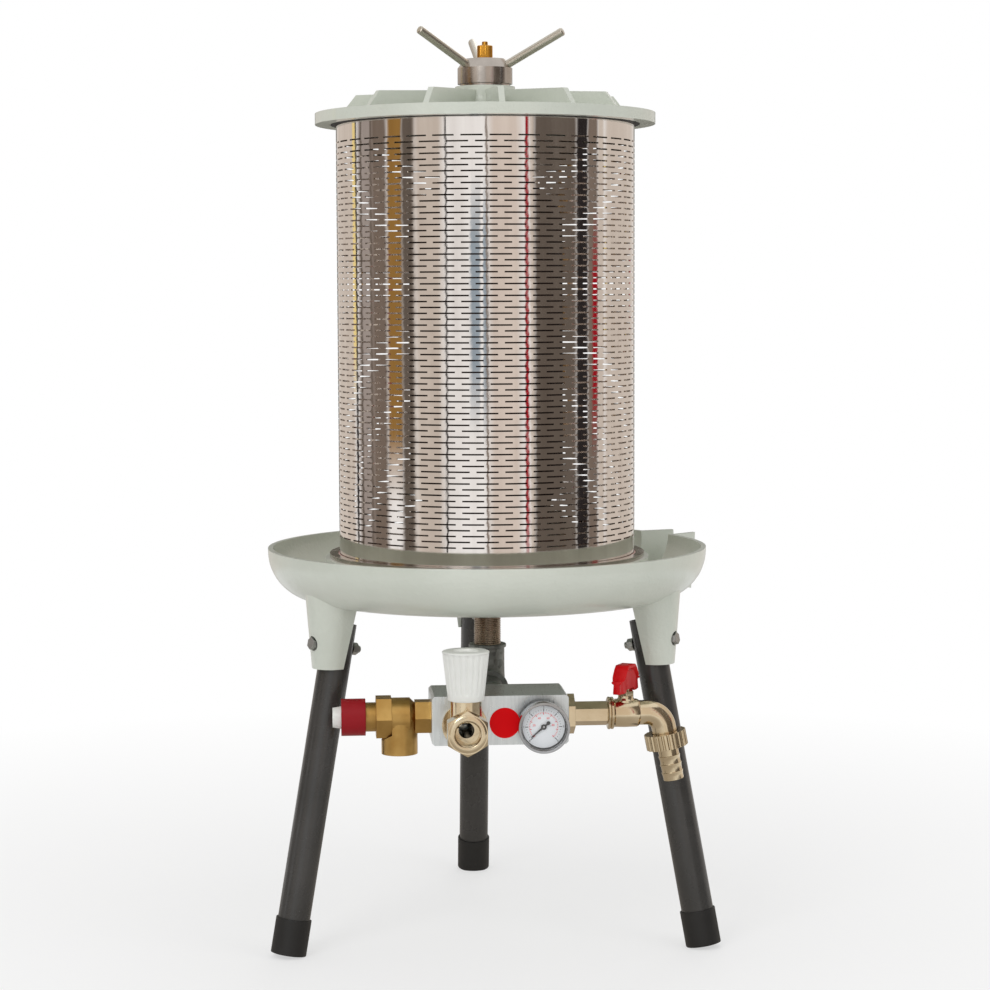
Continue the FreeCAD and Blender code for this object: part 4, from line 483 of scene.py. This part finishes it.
def fluted_knob():
    """A cone that widens upwards, with narrow flutes that start above a smooth band and run out
    below the rounded top edge; the top has a round recess with a small cover in it."""
    low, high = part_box("inlet_knob")
    centre = ((low.x + high.x) / 2, (low.y + high.y) / 2, low.z)
    height, top_radius = high.z - low.z + KNOB_CROWN, (high.x - low.x) / 2
    foot_radius = top_radius * 20.5 / 26.9
    columns = KNOB_FLUTES * 12
    angle = np.linspace(0, TAU, columns, endpoint=False)
    side_levels = np.concatenate([np.linspace(0, KNOB_BAND + 3 * MM, 8),
                                  np.linspace(KNOB_BAND + 5 * MM, height - KNOB_ROUNDING, 14)])
    cone = foot_radius + (top_radius - foot_radius) * side_levels / height
    fade = smooth_step((side_levels - KNOB_BAND) / (3 * MM)) * smooth_step((height - side_levels) / (4 * MM))
    groove = (0.5 + 0.5 * np.cos(KNOB_FLUTES * angle)) ** 3
    side = cone[:, None] - KNOB_FLUTE_DEPTH * fade[:, None] * groove
    turn = np.linspace(0, math.pi / 2, 6)[1:]
    edge_radii = side[-1].min() - KNOB_ROUNDING * (1 - np.cos(turn)) + KNOB_FLUTE_DEPTH
    edge_levels = height - KNOB_ROUNDING * (1 - np.sin(turn))
    recess_radii = np.array([1, 1 - 0.04, 0.9, 0.62, 0.6, 0.5, 0.0]) * KNOB_RECESS_RADIUS
    recess_levels = height - np.array([0.0, 0.5, 1.0, 1.0, 0.75, 0.7, 0.7]) * KNOB_RECESS_DEPTH
    foot_radii = np.array([0.0, foot_radius - 1 * MM, foot_radius - 0.3 * MM])
    foot_levels = np.array([0.0, 0.0, 0.1 * MM])

    def rings(radii):
        return np.repeat(radii[:, None], columns, axis=1)

    radii = np.concatenate([rings(foot_radii), side, rings(edge_radii), rings(recess_radii)])
    raised_side = side_levels + 0.3 * MM * (side_levels == 0)
    levels = np.concatenate([foot_levels, raised_side, edge_levels, recess_levels])
    points = laid(turned_points(radii, levels, columns), centre)
    return piece("fluted_knob", points, grid_faces(levels.size, columns, wrap_columns=True), "inlet_knob",
                 "white_plastic", ("inlet_knob",), crease=50)


fluted_knob()


# Central pipe with its two threads
THREAD_PITCH = 2.309 * MM
THREAD_DEPTH = 1.0 * MM
PIPE_WALL = 3 * MM
LOWER_THREAD_LENGTH = 75 * MM
UPPER_THREAD_LENGTH = 190 * MM


def threaded_pipe():
    """A tube whose outer radius falls by a rounded V that climbs one pitch for each turn, near
    both ends, and whose inner radius is even."""
    low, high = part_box("central_pipe")
    radius, columns = high.x, 40
    angle = np.linspace(0, TAU, columns, endpoint=False)
    lower = np.arange(low.z, low.z + LOWER_THREAD_LENGTH, THREAD_PITCH / 6)
    upper = np.arange(high.z - UPPER_THREAD_LENGTH, high.z, THREAD_PITCH / 6)
    levels = np.concatenate([lower, [lower[-1] + THREAD_PITCH, upper[0] - THREAD_PITCH], upper, [high.z]])
    turn = levels[:, None] / THREAD_PITCH - angle / TAU
    vee = np.abs(2 * (turn % 1) - 1)
    cut = (levels <= lower[-1]) | (levels >= upper[0])
    outer = radius - THREAD_DEPTH * np.where(cut[:, None], vee, 0)
    inner = np.full((2, columns), radius - PIPE_WALL)
    radii = np.concatenate([outer, inner])
    heights = np.concatenate([levels, [high.z, low.z]])
    faces = grid_faces(heights.size, columns, wrap_rows=True, wrap_columns=True)
    return piece("threaded_pipe", turned_points(radii, heights, columns), faces, "root", "satin_stainless",
                 ("central_pipe",), crease=60, finish="pipe_steel")


threaded_pipe()


# Knurled cap of the air vent
def knurled_vent_cap():
    """A turned cap whose side is wavy round its axis, with a plain tip of brass on top."""
    low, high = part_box("vent_cap")
    radius, columns, ridges = high.x, 192, 32
    angle = np.linspace(0, TAU, columns, endpoint=False)
    wave = 0.35 * MM * (0.5 + 0.5 * np.cos(ridges * angle))
    rise = (high.z - low.z) / 20
    sections = [(0.0, 0.0, 0), (0.9, 0.0, 0), (1.0, 0.8, 1), (1.0, 14.2, 1), (0.96, 15.0, 1), (0.86, 15.4, 0),
                (0.42, 15.4, 0), (0.39, 15.8, 0), (0.38, 19.2, 0), (0.32, 20.0, 0), (0.0, 20.0, 0)]
    radii = np.array([share * radius - knurled * wave for share, _, knurled in sections])
    radii = np.array([np.broadcast_to(row, columns) for row in radii])
    heights = low.z + np.array([level for _, level, _ in sections]) * rise
    faces = grid_faces(heights.size, columns, wrap_columns=True)
    return piece("knurled_vent_cap", turned_points(radii, heights, columns), faces, "vent_cap",
                 "vent_brass", ("vent_cap",))


knurled_vent_cap()


# Elbow with a thin bead round each of its mouths
ELBOW_BEND = 24 * MM
ELBOW_RADIUS = 20.8 * MM
ELBOW_MOUTH = 16.8 * MM


def beaded_elbow():
    """A round section carried down the pipe's axis, round a quarter circle and out to the front,
    whose radius swells to a bead at both ends and closes to the bore."""
    low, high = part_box("elbow")
    bead = high.x
    branch, reach = low.z + bead, -low.y
    ends = [(0.0, ELBOW_MOUTH), (0.0, bead - 0.8 * MM), (0.8 * MM, bead), (3.6 * MM, bead),
            (4.4 * MM, bead - 0.8 * MM), (4.8 * MM, ELBOW_RADIUS)]
    inset, radii = np.array(ends).T
    turn = np.linspace(0, math.pi / 2, 12)
    drop = np.stack([0 * inset, high.z - inset, 0 * inset], axis=-1)
    bend_level = branch + ELBOW_BEND * (1 - np.sin(turn))
    bend = np.stack([ELBOW_BEND * (np.cos(turn) - 1), bend_level, turn], axis=-1)
    out = np.stack([inset - reach, 0 * inset + branch, 0 * inset + math.pi / 2], axis=-1)[::-1]
    route = np.concatenate([drop, bend, out])
    radius = np.concatenate([radii, np.full(turn.size, ELBOW_RADIUS), radii[::-1]])[:, None]
    angle = np.linspace(0, TAU, 48, endpoint=False)
    y, z, heading = route.T[:, :, None]
    points = np.stack([radius * np.cos(angle) + 0 * y, y + radius * np.sin(angle) * np.cos(heading),
                       z - radius * np.sin(angle) * np.sin(heading)], axis=-1)
    return piece("beaded_elbow", points, grid_faces(radius.size, 48, wrap_columns=True), "root",
                 SLOT_OF["elbow"], ("elbow",), crease=40)


beaded_elbow()


# Ball valve: a turned body with beads at its inlet end, and a winged handle
VALVE_STATIONS = [(0.0, 0.0), (0.0, 17.6), (0.8, 19.0), (2.8, 19.0), (3.5, 17.8), (4.2, 18.8), (6.6, 18.8),
                  (7.6, 17.2), (8.6, 16.4), (20.0, 16.8), (34.4, 16.4), (36.2, 15.6), (37.2, 14.8),
                  (37.2, 0.0)]
NECK_STATIONS = [(13.0, 0.0), (13.0, 11.0), (15.6, 11.0), (17.2, 9.5), (18.2, 9.0), (20.6, 9.0), (21.0, 8.5),
                 (21.0, 0.0)]
WING_HALF_LENGTH = 28 * MM
WING_AZIMUTH = math.radians(60)
WING_LOOP = np.array([(-8.4, 1.0), (8.4, 1.0), (8.4, 0.87), (5.0, 0.76), (6.0, 0.0), (-6.0, 0.0),
                      (-5.0, 0.76), (-8.4, 0.87)])


def turned_valve_body():
    """Bodies of revolution: the barrel along the bar's axis and the neck that carries the gland."""
    low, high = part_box("ball_valve_body")
    bar_low, bar_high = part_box("tap_extension")
    stem_low, stem_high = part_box("tap_stem")
    axis_y, axis_z = (bar_low.y + bar_high.y) / 2, (bar_low.z + bar_high.z) / 2
    along, radii = np.array(VALVE_STATIONS).T * MM
    barrel = laid(turned_points(radii, along, 64), (low.x, axis_y, axis_z), along=(1, 0, 0))
    piece("valve_barrel", barrel, grid_faces(along.size, 64, wrap_columns=True), "root", "nickel_plate",
          ("ball_valve_body",), crease=40)
    along, radii = np.array(NECK_STATIONS).T * MM
    neck = laid(turned_points(radii, along, 40), ((stem_low.x + stem_high.x) / 2, axis_y, axis_z))
    return piece("valve_neck", neck, grid_faces(along.size, 40, wrap_columns=True), "root", "nickel_plate",
                 crease=40)


def winged_handle():
    """A T-shaped section along a level line through the stem: its top is flat over the middle and
    falls in an even S to both wing tips, and its foot rises over the gland between two skirts."""
    low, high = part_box("tap_handle")
    along = np.linspace(-1, 1, 41) * WING_HALF_LENGTH
    top = 30.5 * MM - 17 * MM * smooth_step((np.abs(along) - 9 * MM) / (17 * MM))
    foot = 2.0 * MM - 3.5 * MM * smooth_step((np.abs(along) - 10.5 * MM) / (2 * MM))
    width = 1 - 0.25 * smooth_step((np.abs(along) - 19 * MM) / (6 * MM))
    across = WING_LOOP[:, 0] * MM * width[:, None]
    level = foot[:, None] + (top - foot)[:, None] * WING_LOOP[:, 1]
    run = np.repeat(along[:, None], len(WING_LOOP), axis=1)
    section = np.stack([run, across, level], axis=-1)
    tips = [np.repeat(section[end].mean(axis=0)[None, :], len(WING_LOOP), axis=0)[None] for end in (0, -1)]
    section = np.concatenate([tips[0], section, tips[1]])
    turned = np.array([[math.cos(WING_AZIMUTH), math.sin(WING_AZIMUTH), 0],
                       [-math.sin(WING_AZIMUTH), math.cos(WING_AZIMUTH), 0], [0, 0, 1]])
    points = section @ turned + np.array([(low.x + high.x) / 2, (low.y + high.y) / 2, low.z])
    made = piece("winged_handle", points, grid_faces(43, len(WING_LOOP), wrap_columns=True), "tap_handle",
                 "red_lacquer", ("tap_handle",), crease=40)
    rounding = made.modifiers.new("rounding", "BEVEL")
    rounding.width = 0.9 * MM
    rounding.segments = 2
    rounding.limit_method = "ANGLE"
    rounding.angle_limit = math.radians(32)
    return settled(made, crease=50)


turned_valve_body()
winged_handle()


# Membrane: a rubber bladder that bulges between the clamps
MEMBRANE_BULGE = 93 * MM
MEMBRANE_NECK = 52 * MM
MEMBRANE_NECK_LENGTH = 26 * MM
MEMBRANE_FADE = 60 * MM
MEMBRANE_WALL = 3.5 * MM


def bulging_membrane():
    """A closed sleeve whose radius rises in an even S from both necks to the bulge."""
    low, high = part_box("membrane")
    levels = np.linspace(low.z, high.z, 49)
    inward = np.minimum(levels - low.z, high.z - levels)
    rise = smooth_step((inward - MEMBRANE_NECK_LENGTH) / MEMBRANE_FADE)
    outer = MEMBRANE_NECK + (MEMBRANE_BULGE - MEMBRANE_NECK) * rise
    radii = np.concatenate([outer, (outer - MEMBRANE_WALL)[::-1]])
    heights = np.concatenate([levels, levels[::-1]])
    faces = grid_faces(radii.size, 64, wrap_rows=True, wrap_columns=True)
    return piece("bulging_membrane", turned_points(radii, heights, 64), faces, BODY_OF["membrane"],
                 "membrane_rubber", ("membrane",))


bulging_membrane()


# Gauge: printed scales on the dial and a tapered pointer with a round tail
SWEEP_START = math.radians(225)
SWEEP = math.radians(270)
PRINT_THICKNESS = 0.12 * MM


def dial_frame():
    """Centre of the dial's face."""
    low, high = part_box("gauge_dial")
    return Vector(((low.x + high.x) / 2, low.y, (low.z + high.z) / 2))


def on_dial(points):
    """Points drawn flat (x to the right, y up, z out of the dial), put on the dial's face."""
    points = np.asarray(points, float)
    centre = dial_frame()
    across, rise, out = points[..., 0], points[..., 1], points[..., 2]
    return np.stack([centre.x + across, centre.y - out, centre.z + rise], axis=-1)


def scale_ticks(name, slot, marks):
    """Thin bars on the dial: each mark is (share of the sweep, inner radius, outer radius, width)."""
    share, inner, outer, width = np.array(marks).T
    angle = SWEEP_START - share * SWEEP
    out = np.stack([np.cos(angle), np.sin(angle)], axis=-1)
    side = np.stack([-out[:, 1], out[:, 0]], axis=-1)
    corners = [out * reach[:, None] + side * (sign * width / 2)[:, None]
               for reach, sign in ((inner, -1), (outer, -1), (outer, 1), (inner, 1))]
    flat = np.stack(corners, axis=1)
    bars = np.stack([np.concatenate([flat, np.full(flat.shape[:2] + (1,), level)], axis=-1)
                     for level in (0.0, PRINT_THICKNESS)], axis=1)
    bar = np.array([(0, 3, 2, 1), (4, 5, 6, 7), (0, 1, 5, 4), (1, 2, 6, 5), (2, 3, 7, 6), (3, 0, 4, 7)])
    faces = (np.arange(share.size)[:, None, None] * 8 + bar).reshape(-1, 4)
    return piece(name, on_dial(bars), faces, "root", slot)


def dial_number(name, text, share, reach, tall, slot):
    """A number printed upright on the dial at a share of the sweep."""
    words = bpy.data.curves.new(name, "FONT")
    words.body = text
    words.size = tall
    words.align_x = "CENTER"
    words.align_y = "CENTER"
    words.extrude = PRINT_THICKNESS / 2
    carrier = bpy.data.objects.new(name, words)
    flat = bpy.data.meshes.new_from_object(carrier)
    bpy.data.objects.remove(carrier)
    angle = SWEEP_START - share * SWEEP
    spot = np.array([reach * math.cos(angle), reach * math.sin(angle), PRINT_THICKNESS / 2])
    points = np.array([corner.co for corner in flat.vertices]) + spot
    return piece(name, on_dial(points), [list(face.vertices) for face in flat.polygons], "root", slot)


DIAL_STEPS = 6
RED_STEPS = 8
RED_NUMBERS = 5
dial_reach = (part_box("gauge_dial")[1].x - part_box("gauge_dial")[0].x) / 2


def ticks(steps, inner, outer, width):
    """Even ticks over the whole sweep between two shares of the dial's reach."""
    return [(step / steps, inner * dial_reach, outer * dial_reach, width) for step in range(steps + 1)]


major = ticks(DIAL_STEPS, 0.70, 0.84, 0.8 * MM)
minor = ticks(DIAL_STEPS * 5, 0.75, 0.80, 0.4 * MM)
scale_ticks("black_scale", "needle_black", major + minor)
for number in range(DIAL_STEPS + 1):
    dial_number(f"black_number_{number}", str(number), number / DIAL_STEPS, 0.905 * dial_reach, 3.6 * MM,
                "needle_black")
red_major = ticks(RED_STEPS, 0.56, 0.67, 0.8 * MM)
red_minor = ticks(RED_STEPS * 5, 0.61, 0.67, 0.5 * MM)
scale_ticks("red_scale", "red_film", red_major + red_minor)
for number in range(1, RED_NUMBERS):
    dial_number(f"red_number_{number}", str(number * 20), number / RED_NUMBERS, 0.44 * dial_reach, 3.4 * MM,
                "red_film")


# Pointer: the angle at which it rests, its reach both ways and the radii of its hub and round tail
POINTER_READING = math.radians(220)
POINTER_TIP = 19.0 * MM
POINTER_TAIL = 9.2 * MM
POINTER_HUB = 3.2 * MM
POINTER_WEIGHT = 2.2 * MM


def gauge_pointer():
    """A flat bar that tapers to its tip, with a round tail and a round hub, as one outline."""
    low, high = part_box("gauge_needle")
    dial = dial_frame()
    reading = POINTER_READING
    along = np.linspace(0, 1, 24)
    tip, tail = POINTER_TIP, POINTER_TAIL
    reach = -tail + (tip + tail) * along
    hub = np.sqrt(np.clip(POINTER_HUB ** 2 - reach ** 2, 0, None))
    weight = np.sqrt(np.clip(POINTER_WEIGHT ** 2 - (reach + tail - POINTER_WEIGHT) ** 2, 0, None))
    blade = np.where(reach > 0, 1.1 * MM - 0.6 * MM * reach / tip, 0.8 * MM * (reach > -tail + 2 * MM))
    half = np.maximum(np.maximum(hub, weight), blade)
    half[-1] = 0.1 * MM
    half[0] = 0.3 * MM
    turn = np.array([[math.cos(reading), math.sin(reading)], [-math.sin(reading), math.cos(reading)]])
    upper = np.stack([reach, half], axis=-1) @ turn
    lower = np.stack([reach, -half], axis=-1) @ turn
    front, back = dial.y - low.y, dial.y - high.y
    layers = [np.concatenate([edge, np.full((24, 1), level)], axis=-1)
              for edge, level in ((lower, back), (lower, front), (upper, front), (upper, back))]
    points = on_dial(np.stack(layers, axis=0))
    faces = grid_faces(4, 24, wrap_rows=True).tolist() + [[0, 24, 48, 72], [23, 95, 71, 47]]
    return piece("gauge_pointer", points, faces, "gauge_needle", "needle_black", ("gauge_needle",))


gauge_pointer()


def dial_edge():
    """A thin black ring round the dial's rim."""
    rim = np.array([(-0.9, 0.1), (-0.1, 0.1), (-0.1, 0.35), (-0.9, 0.35)]) * MM
    points = laid(turned_points(dial_reach + rim[:, 0], rim[:, 1], 96), dial_frame(), along=(0, -1, 0))
    faces = grid_faces(len(rim), 96, wrap_rows=True, wrap_columns=True)
    return piece("dial_edge", points, faces, "root", "needle_black")


dial_edge()


# Studio: pale floor, soft light, and upright cards that only reflections see

def studio_floor():
    """A wide pale floor that turns to the white of the background with distance."""
    mesh = bpy.data.meshes.new("studio_floor")
    reach = 40
    corners = [(-reach, -reach, 0), (reach, -reach, 0), (reach, reach, 0), (-reach, reach, 0)]
    mesh.from_pydata(corners, [], [(0, 1, 2, 3)])
    floor = bpy.data.objects.new("studio_floor", mesh)
    bpy.context.scene.collection.objects.link(floor)
    finish = Finish("studio_floor", roughness=0.9)
    tree = finish.tree
    finish.shader.inputs["Base Color"].default_value = (0.86, 0.86, 0.86, 1)
    length = finish.node("ShaderNodeVectorMath")
    length.operation = "LENGTH"
    tree.links.new(finish.place, length.inputs[0])
    fade = finish.node("ShaderNodeMapRange", Value=length.outputs["Value"])
    fade.inputs["From Min"].default_value = 0.35
    fade.inputs["From Max"].default_value = 1.6
    fade.inputs["To Min"].default_value = 0.55
    path = tree.nodes.new("ShaderNodeLightPath")
    seen = finish.node("ShaderNodeMath")
    seen.operation = "MAXIMUM"
    tree.links.new(path.outputs["Is Camera Ray"], seen.inputs[0])
    tree.links.new(path.outputs["Is Glossy Ray"], seen.inputs[1])
    share = finish.node("ShaderNodeMath")
    share.operation = "MULTIPLY"
    tree.links.new(seen.outputs["Value"], share.inputs[0])
    tree.links.new(fade.outputs["Result"], share.inputs[1])
    glow = finish.node("ShaderNodeEmission", Color=(1, 1, 1, 1), Strength=1.0)
    mix = tree.nodes.new("ShaderNodeMixShader")
    tree.links.new(share.outputs["Value"], mix.inputs[0])
    tree.links.new(finish.shader.outputs["BSDF"], mix.inputs[1])
    tree.links.new(glow.outputs["Emission"], mix.inputs[2])
    tree.links.new(mix.outputs["Shader"], tree.nodes["Material Output"].inputs["Surface"])
    mesh.materials.append(finish.material)


# Cards: plain upright boards round the press that only reflections see. Each has the middle of the
# place where the basket mirrors it, as a share of the basket's half width, half its width, the share
# over which its edges fade, its lowest and highest level, and one of ten shades
CARD_DISTANCE = 1.9
CARD_STAGGER = 0.012
CARD_EDGE = 0.06
PALE = srgb(220, 210, 200)
BRIGHT = srgb(238, 227, 218)
GREY = srgb(172, 163, 158)
DIM = srgb(128, 115, 105)
DARK = srgb(106, 97, 89)
BLACK = srgb(48, 44, 44)
GOLD = srgb(160, 122, 66)
YELLOW = srgb(255, 232, 160)
BLUE = srgb(158, 172, 184)
RED = srgb(165, 22, 36)
CARDS = [
    (-0.940, 0.055, 0.020, 0.00, 2.40, PALE),
    (-0.800, 0.055, 0.020, 0.00, 2.40, GREY),
    (-0.835, 0.006, 0.005, 0.00, 2.40, DARK),
    (-0.770, 0.006, 0.005, 0.00, 2.40, DARK),
    (-0.715, 0.050, 0.030, 0.00, 2.40, DIM),
    (-0.870, 0.006, 0.004, 0.00, 2.40, BLACK),
    (-0.883, 0.009, 0.005, 0.62, 2.40, YELLOW),
    (-0.610, 0.048, 0.012, 0.45, 2.40, GOLD),
    (-0.520, 0.042, 0.020, 0.00, 2.40, DARK),
    (-0.385, 0.090, 0.050, 0.00, 2.40, PALE),
    (-0.268, 0.006, 0.004, 0.00, 2.40, BLACK),
    (-0.070, 0.032, 0.014, 0.58, 0.93, BLUE),
    (0.000, 0.016, 0.008, 0.56, 0.93, BLUE),
    (0.008, 0.006, 0.004, 0.00, 2.40, DIM),
    (0.130, 0.100, 0.050, 0.00, 2.40, BRIGHT),
    (0.278, 0.011, 0.006, 0.30, 2.40, RED),
    (0.314, 0.014, 0.010, 0.00, 2.40, PALE),
    (0.470, 0.142, 0.030, 0.00, 2.40, DARK),
    (0.415, 0.014, 0.008, 0.00, 2.40, BLACK),
    (0.720, 0.032, 0.016, 0.00, 2.40, DIM),
    (0.650, 0.036, 0.010, 0.00, 2.40, BLACK),
    (0.735, 0.018, 0.010, 0.54, 0.86, RED),
    (0.775, 0.018, 0.010, 0.00, 2.40, PALE),
    (0.895, 0.090, 0.030, 0.00, 2.40, PALE),
]
# Flags: a dark one low behind the press, as studios use so that metal's upper faces don't wash out. Under
# it lies a dim disc that only reflections see: painted shade of the floor under the press, in metal's lower
# faces
FLAG_DISTANCE = 1.4
FLAG_HALF_ANGLE = math.radians(27)
FLAG_SHADE = srgb(98, 94, 84)
PAINTED_FLOOR_SHADE_REACH = 1.3
PAINTED_FLOOR_SHADE = srgb(176, 168, 158)


def glowing_stage(name, points, faces, cover, shade):
    """A card that only reflections see: it glows in its shade and is clear where its cover is 0."""
    mesh = bpy.data.meshes.new(name)
    mesh.from_pydata(np.asarray(points).reshape(-1, 3).tolist(), [], faces.tolist())
    covers = mesh.attributes.new("cover", "FLOAT", "POINT")
    covers.data.foreach_set("value", np.ravel(cover).astype(np.float32))
    card = bpy.data.objects.new(name, mesh)
    bpy.context.scene.collection.objects.link(card)
    finish = Finish(name, roughness=1.0)
    glow = finish.node("ShaderNodeEmission", Color=shade, Strength=1.0)
    clear = finish.node("ShaderNodeBsdfTransparent")
    covering = finish.node("ShaderNodeAttribute")
    covering.attribute_name = "cover"
    mix = finish.node("ShaderNodeMixShader", Fac=covering.outputs["Fac"])
    finish.tree.links.new(clear.outputs["BSDF"], mix.inputs[1])
    finish.tree.links.new(glow.outputs["Emission"], mix.inputs[2])
    finish.tree.links.new(mix.outputs["Shader"], finish.tree.nodes["Material Output"].inputs["Surface"])
    mesh.materials.append(finish.material)
    card.visible_camera = False
    card.visible_diffuse = False
    card.visible_shadow = False
    card.visible_transmission = False


def reflected_card(index, middle, half, fade, low, high, shade):
    """A stretch of an upright cylinder round the press that fades out at its edges. From the camera's
    distance D, a share s of the half width of a basket of radius R is seen at the angle a whose tangent
    is s times that of the outermost sight line. That line meets the wall at the turn f = arc sine of
    (D sin a / R) - a and leaves it at 2 f + a, to meet the card's cylinder of radius C at that angle
    less the arc sine of R sin(f + a) / C."""
    towards_camera = math.atan2(CAMERA_PLACE[1], CAMERA_PLACE[0])
    apart = math.hypot(CAMERA_PLACE[0], CAMERA_PLACE[1])
    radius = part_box("basket")[1].x
    distance = CARD_DISTANCE - CARD_STAGGER * index
    edges = np.array([-half - fade / 2, -half + fade / 2, 0, half - fade / 2, half + fade / 2])
    share = np.clip(middle + edges, -1, 1)
    sight = np.arctan(share * math.tan(math.asin(radius / apart)))
    turn = np.arcsin(np.clip(apart * np.sin(sight) / radius, -1, 1)) - sight
    angle = towards_camera + 2 * turn + sight - np.arcsin(radius * np.sin(turn + sight) / distance)
    level = np.array([low - CARD_EDGE, low + CARD_EDGE, high - CARD_EDGE, high + CARD_EDGE])
    angle, level = np.meshgrid(angle, level)
    points = np.stack([distance * np.cos(angle), distance * np.sin(angle), level], axis=-1)
    cover = np.outer([0, 1, 1, 0], [0, 1, 1, 1, 0])
    glowing_stage(f"card_{index}", points, grid_faces(4, 5), cover, shade)


def flags():
    """The dark stretch of cylinder behind the press, and a disc on the floor that fades outwards: painted
    shade of the floor under the press, seen only in reflections.
    """
    away = math.atan2(-CAMERA_PLACE[1], -CAMERA_PLACE[0])
    turns = FLAG_HALF_ANGLE * np.array([-1, -0.7, 0, 0.7, 1])
    angle, level = np.meshgrid(away + turns, [0.0, 0.3, 0.42, 1.1, 1.5])
    points = np.stack([FLAG_DISTANCE * np.cos(angle), FLAG_DISTANCE * np.sin(angle), level], axis=-1)
    cover = np.outer([0.6, 0.6, 1, 1, 0], [0, 1, 1, 1, 0])
    glowing_stage("back_flag", points, grid_faces(5, 5), cover, FLAG_SHADE)
    # The disc is painted shade: a dim glow that stands for the floor's shade under the press in reflections
    disc = turned_points([0.0, 0.5 * PAINTED_FLOOR_SHADE_REACH, PAINTED_FLOOR_SHADE_REACH], [0.001, 0.001, 0.001], 48)
    cover = np.repeat([1.0, 0.8, 0.0], 48)
    glowing_stage("painted_floor_shade_disc", disc, grid_faces(3, 48, wrap_columns=True), cover, PAINTED_FLOOR_SHADE)


# Camera, from the fit of the photograph
CAMERA_PLACE = (-0.2154, -3.02, 0.78315)
CAMERA_HEADING = math.radians(4.27)
CAMERA_DROP = math.radians(4.79)
CAMERA_ROLL = math.radians(-0.23)
CAMERA_LENS = 90.42


def photo_camera():
    """A camera that looks along its heading, dropped below the horizon and rolled."""
    forward = Vector((math.sin(CAMERA_HEADING) * math.cos(CAMERA_DROP),
                      math.cos(CAMERA_HEADING) * math.cos(CAMERA_DROP), -math.sin(CAMERA_DROP)))
    right = Vector((math.cos(CAMERA_HEADING), -math.sin(CAMERA_HEADING), 0))
    up = right.cross(forward)
    rolled_right = right * math.cos(CAMERA_ROLL) + up * math.sin(CAMERA_ROLL)
    rolled_up = up * math.cos(CAMERA_ROLL) - right * math.sin(CAMERA_ROLL)
    lens = bpy.data.cameras.new("photo_camera")
    lens.lens = CAMERA_LENS
    lens.sensor_width = 36
    camera = bpy.data.objects.new("photo_camera", lens)
    bpy.context.scene.collection.objects.link(camera)
    turn = Matrix((rolled_right, rolled_up, -forward)).transposed().to_4x4()
    camera.matrix_world = Matrix.Translation(CAMERA_PLACE) @ turn
    bpy.context.scene.camera = camera


def soft_lamp(name, place, aim, width, power):
    """A square soft lamp that faces a point."""
    lamp = bpy.data.lights.new(name, "AREA")
    lamp.size = width
    lamp.energy = power
    holder = bpy.data.objects.new(name, lamp)
    bpy.context.scene.collection.objects.link(holder)
    holder.location = place
    holder.rotation_euler = (Vector(aim) - Vector(place)).to_track_quat("-Z", "Y").to_euler()


def studio_world():
    """White to the camera and in reflections, and a softer white as light."""
    world = bpy.data.worlds.new("studio")
    bpy.context.scene.world = world
    world.use_nodes = True
    tree = world.node_tree
    light = tree.nodes["Background"]
    light.inputs["Color"].default_value = (1, 1, 1, 1)
    light.inputs["Strength"].default_value = 0.62
    shown = tree.nodes.new("ShaderNodeBackground")
    shown.inputs["Color"].default_value = (1, 1, 1, 1)
    shown.inputs["Strength"].default_value = 1.0
    path = tree.nodes.new("ShaderNodeLightPath")
    seen = path.outputs["Is Camera Ray"]
    for ray in ("Is Glossy Ray", "Is Transmission Ray"):
        larger = tree.nodes.new("ShaderNodeMath")
        larger.operation = "MAXIMUM"
        tree.links.new(seen, larger.inputs[0])
        tree.links.new(path.outputs[ray], larger.inputs[1])
        seen = larger.outputs["Value"]
    mix = tree.nodes.new("ShaderNodeMixShader")
    tree.links.new(seen, mix.inputs[0])
    tree.links.new(light.outputs["Background"], mix.inputs[1])
    tree.links.new(shown.outputs["Background"], mix.inputs[2])
    tree.links.new(mix.outputs["Shader"], tree.nodes["World Output"].inputs["Surface"])


bpy.context.scene.view_settings.view_transform = "Standard"
photo_camera()
studio_floor()
studio_world()
for index, card in enumerate(CARDS):
    reflected_card(index, *card)
flags()
soft_lamp("key_lamp", (-1.6, -2.4, 2.3), (0, 0, 0.6), 1.4, 26)
soft_lamp("fill_lamp", (2.2, -1.8, 1.6), (0, 0, 0.5), 1.6, 12)
soft_lamp("back_lamp", (0.6, 2.4, 2.4), (0, 0, 0.7), 1.6, 14)
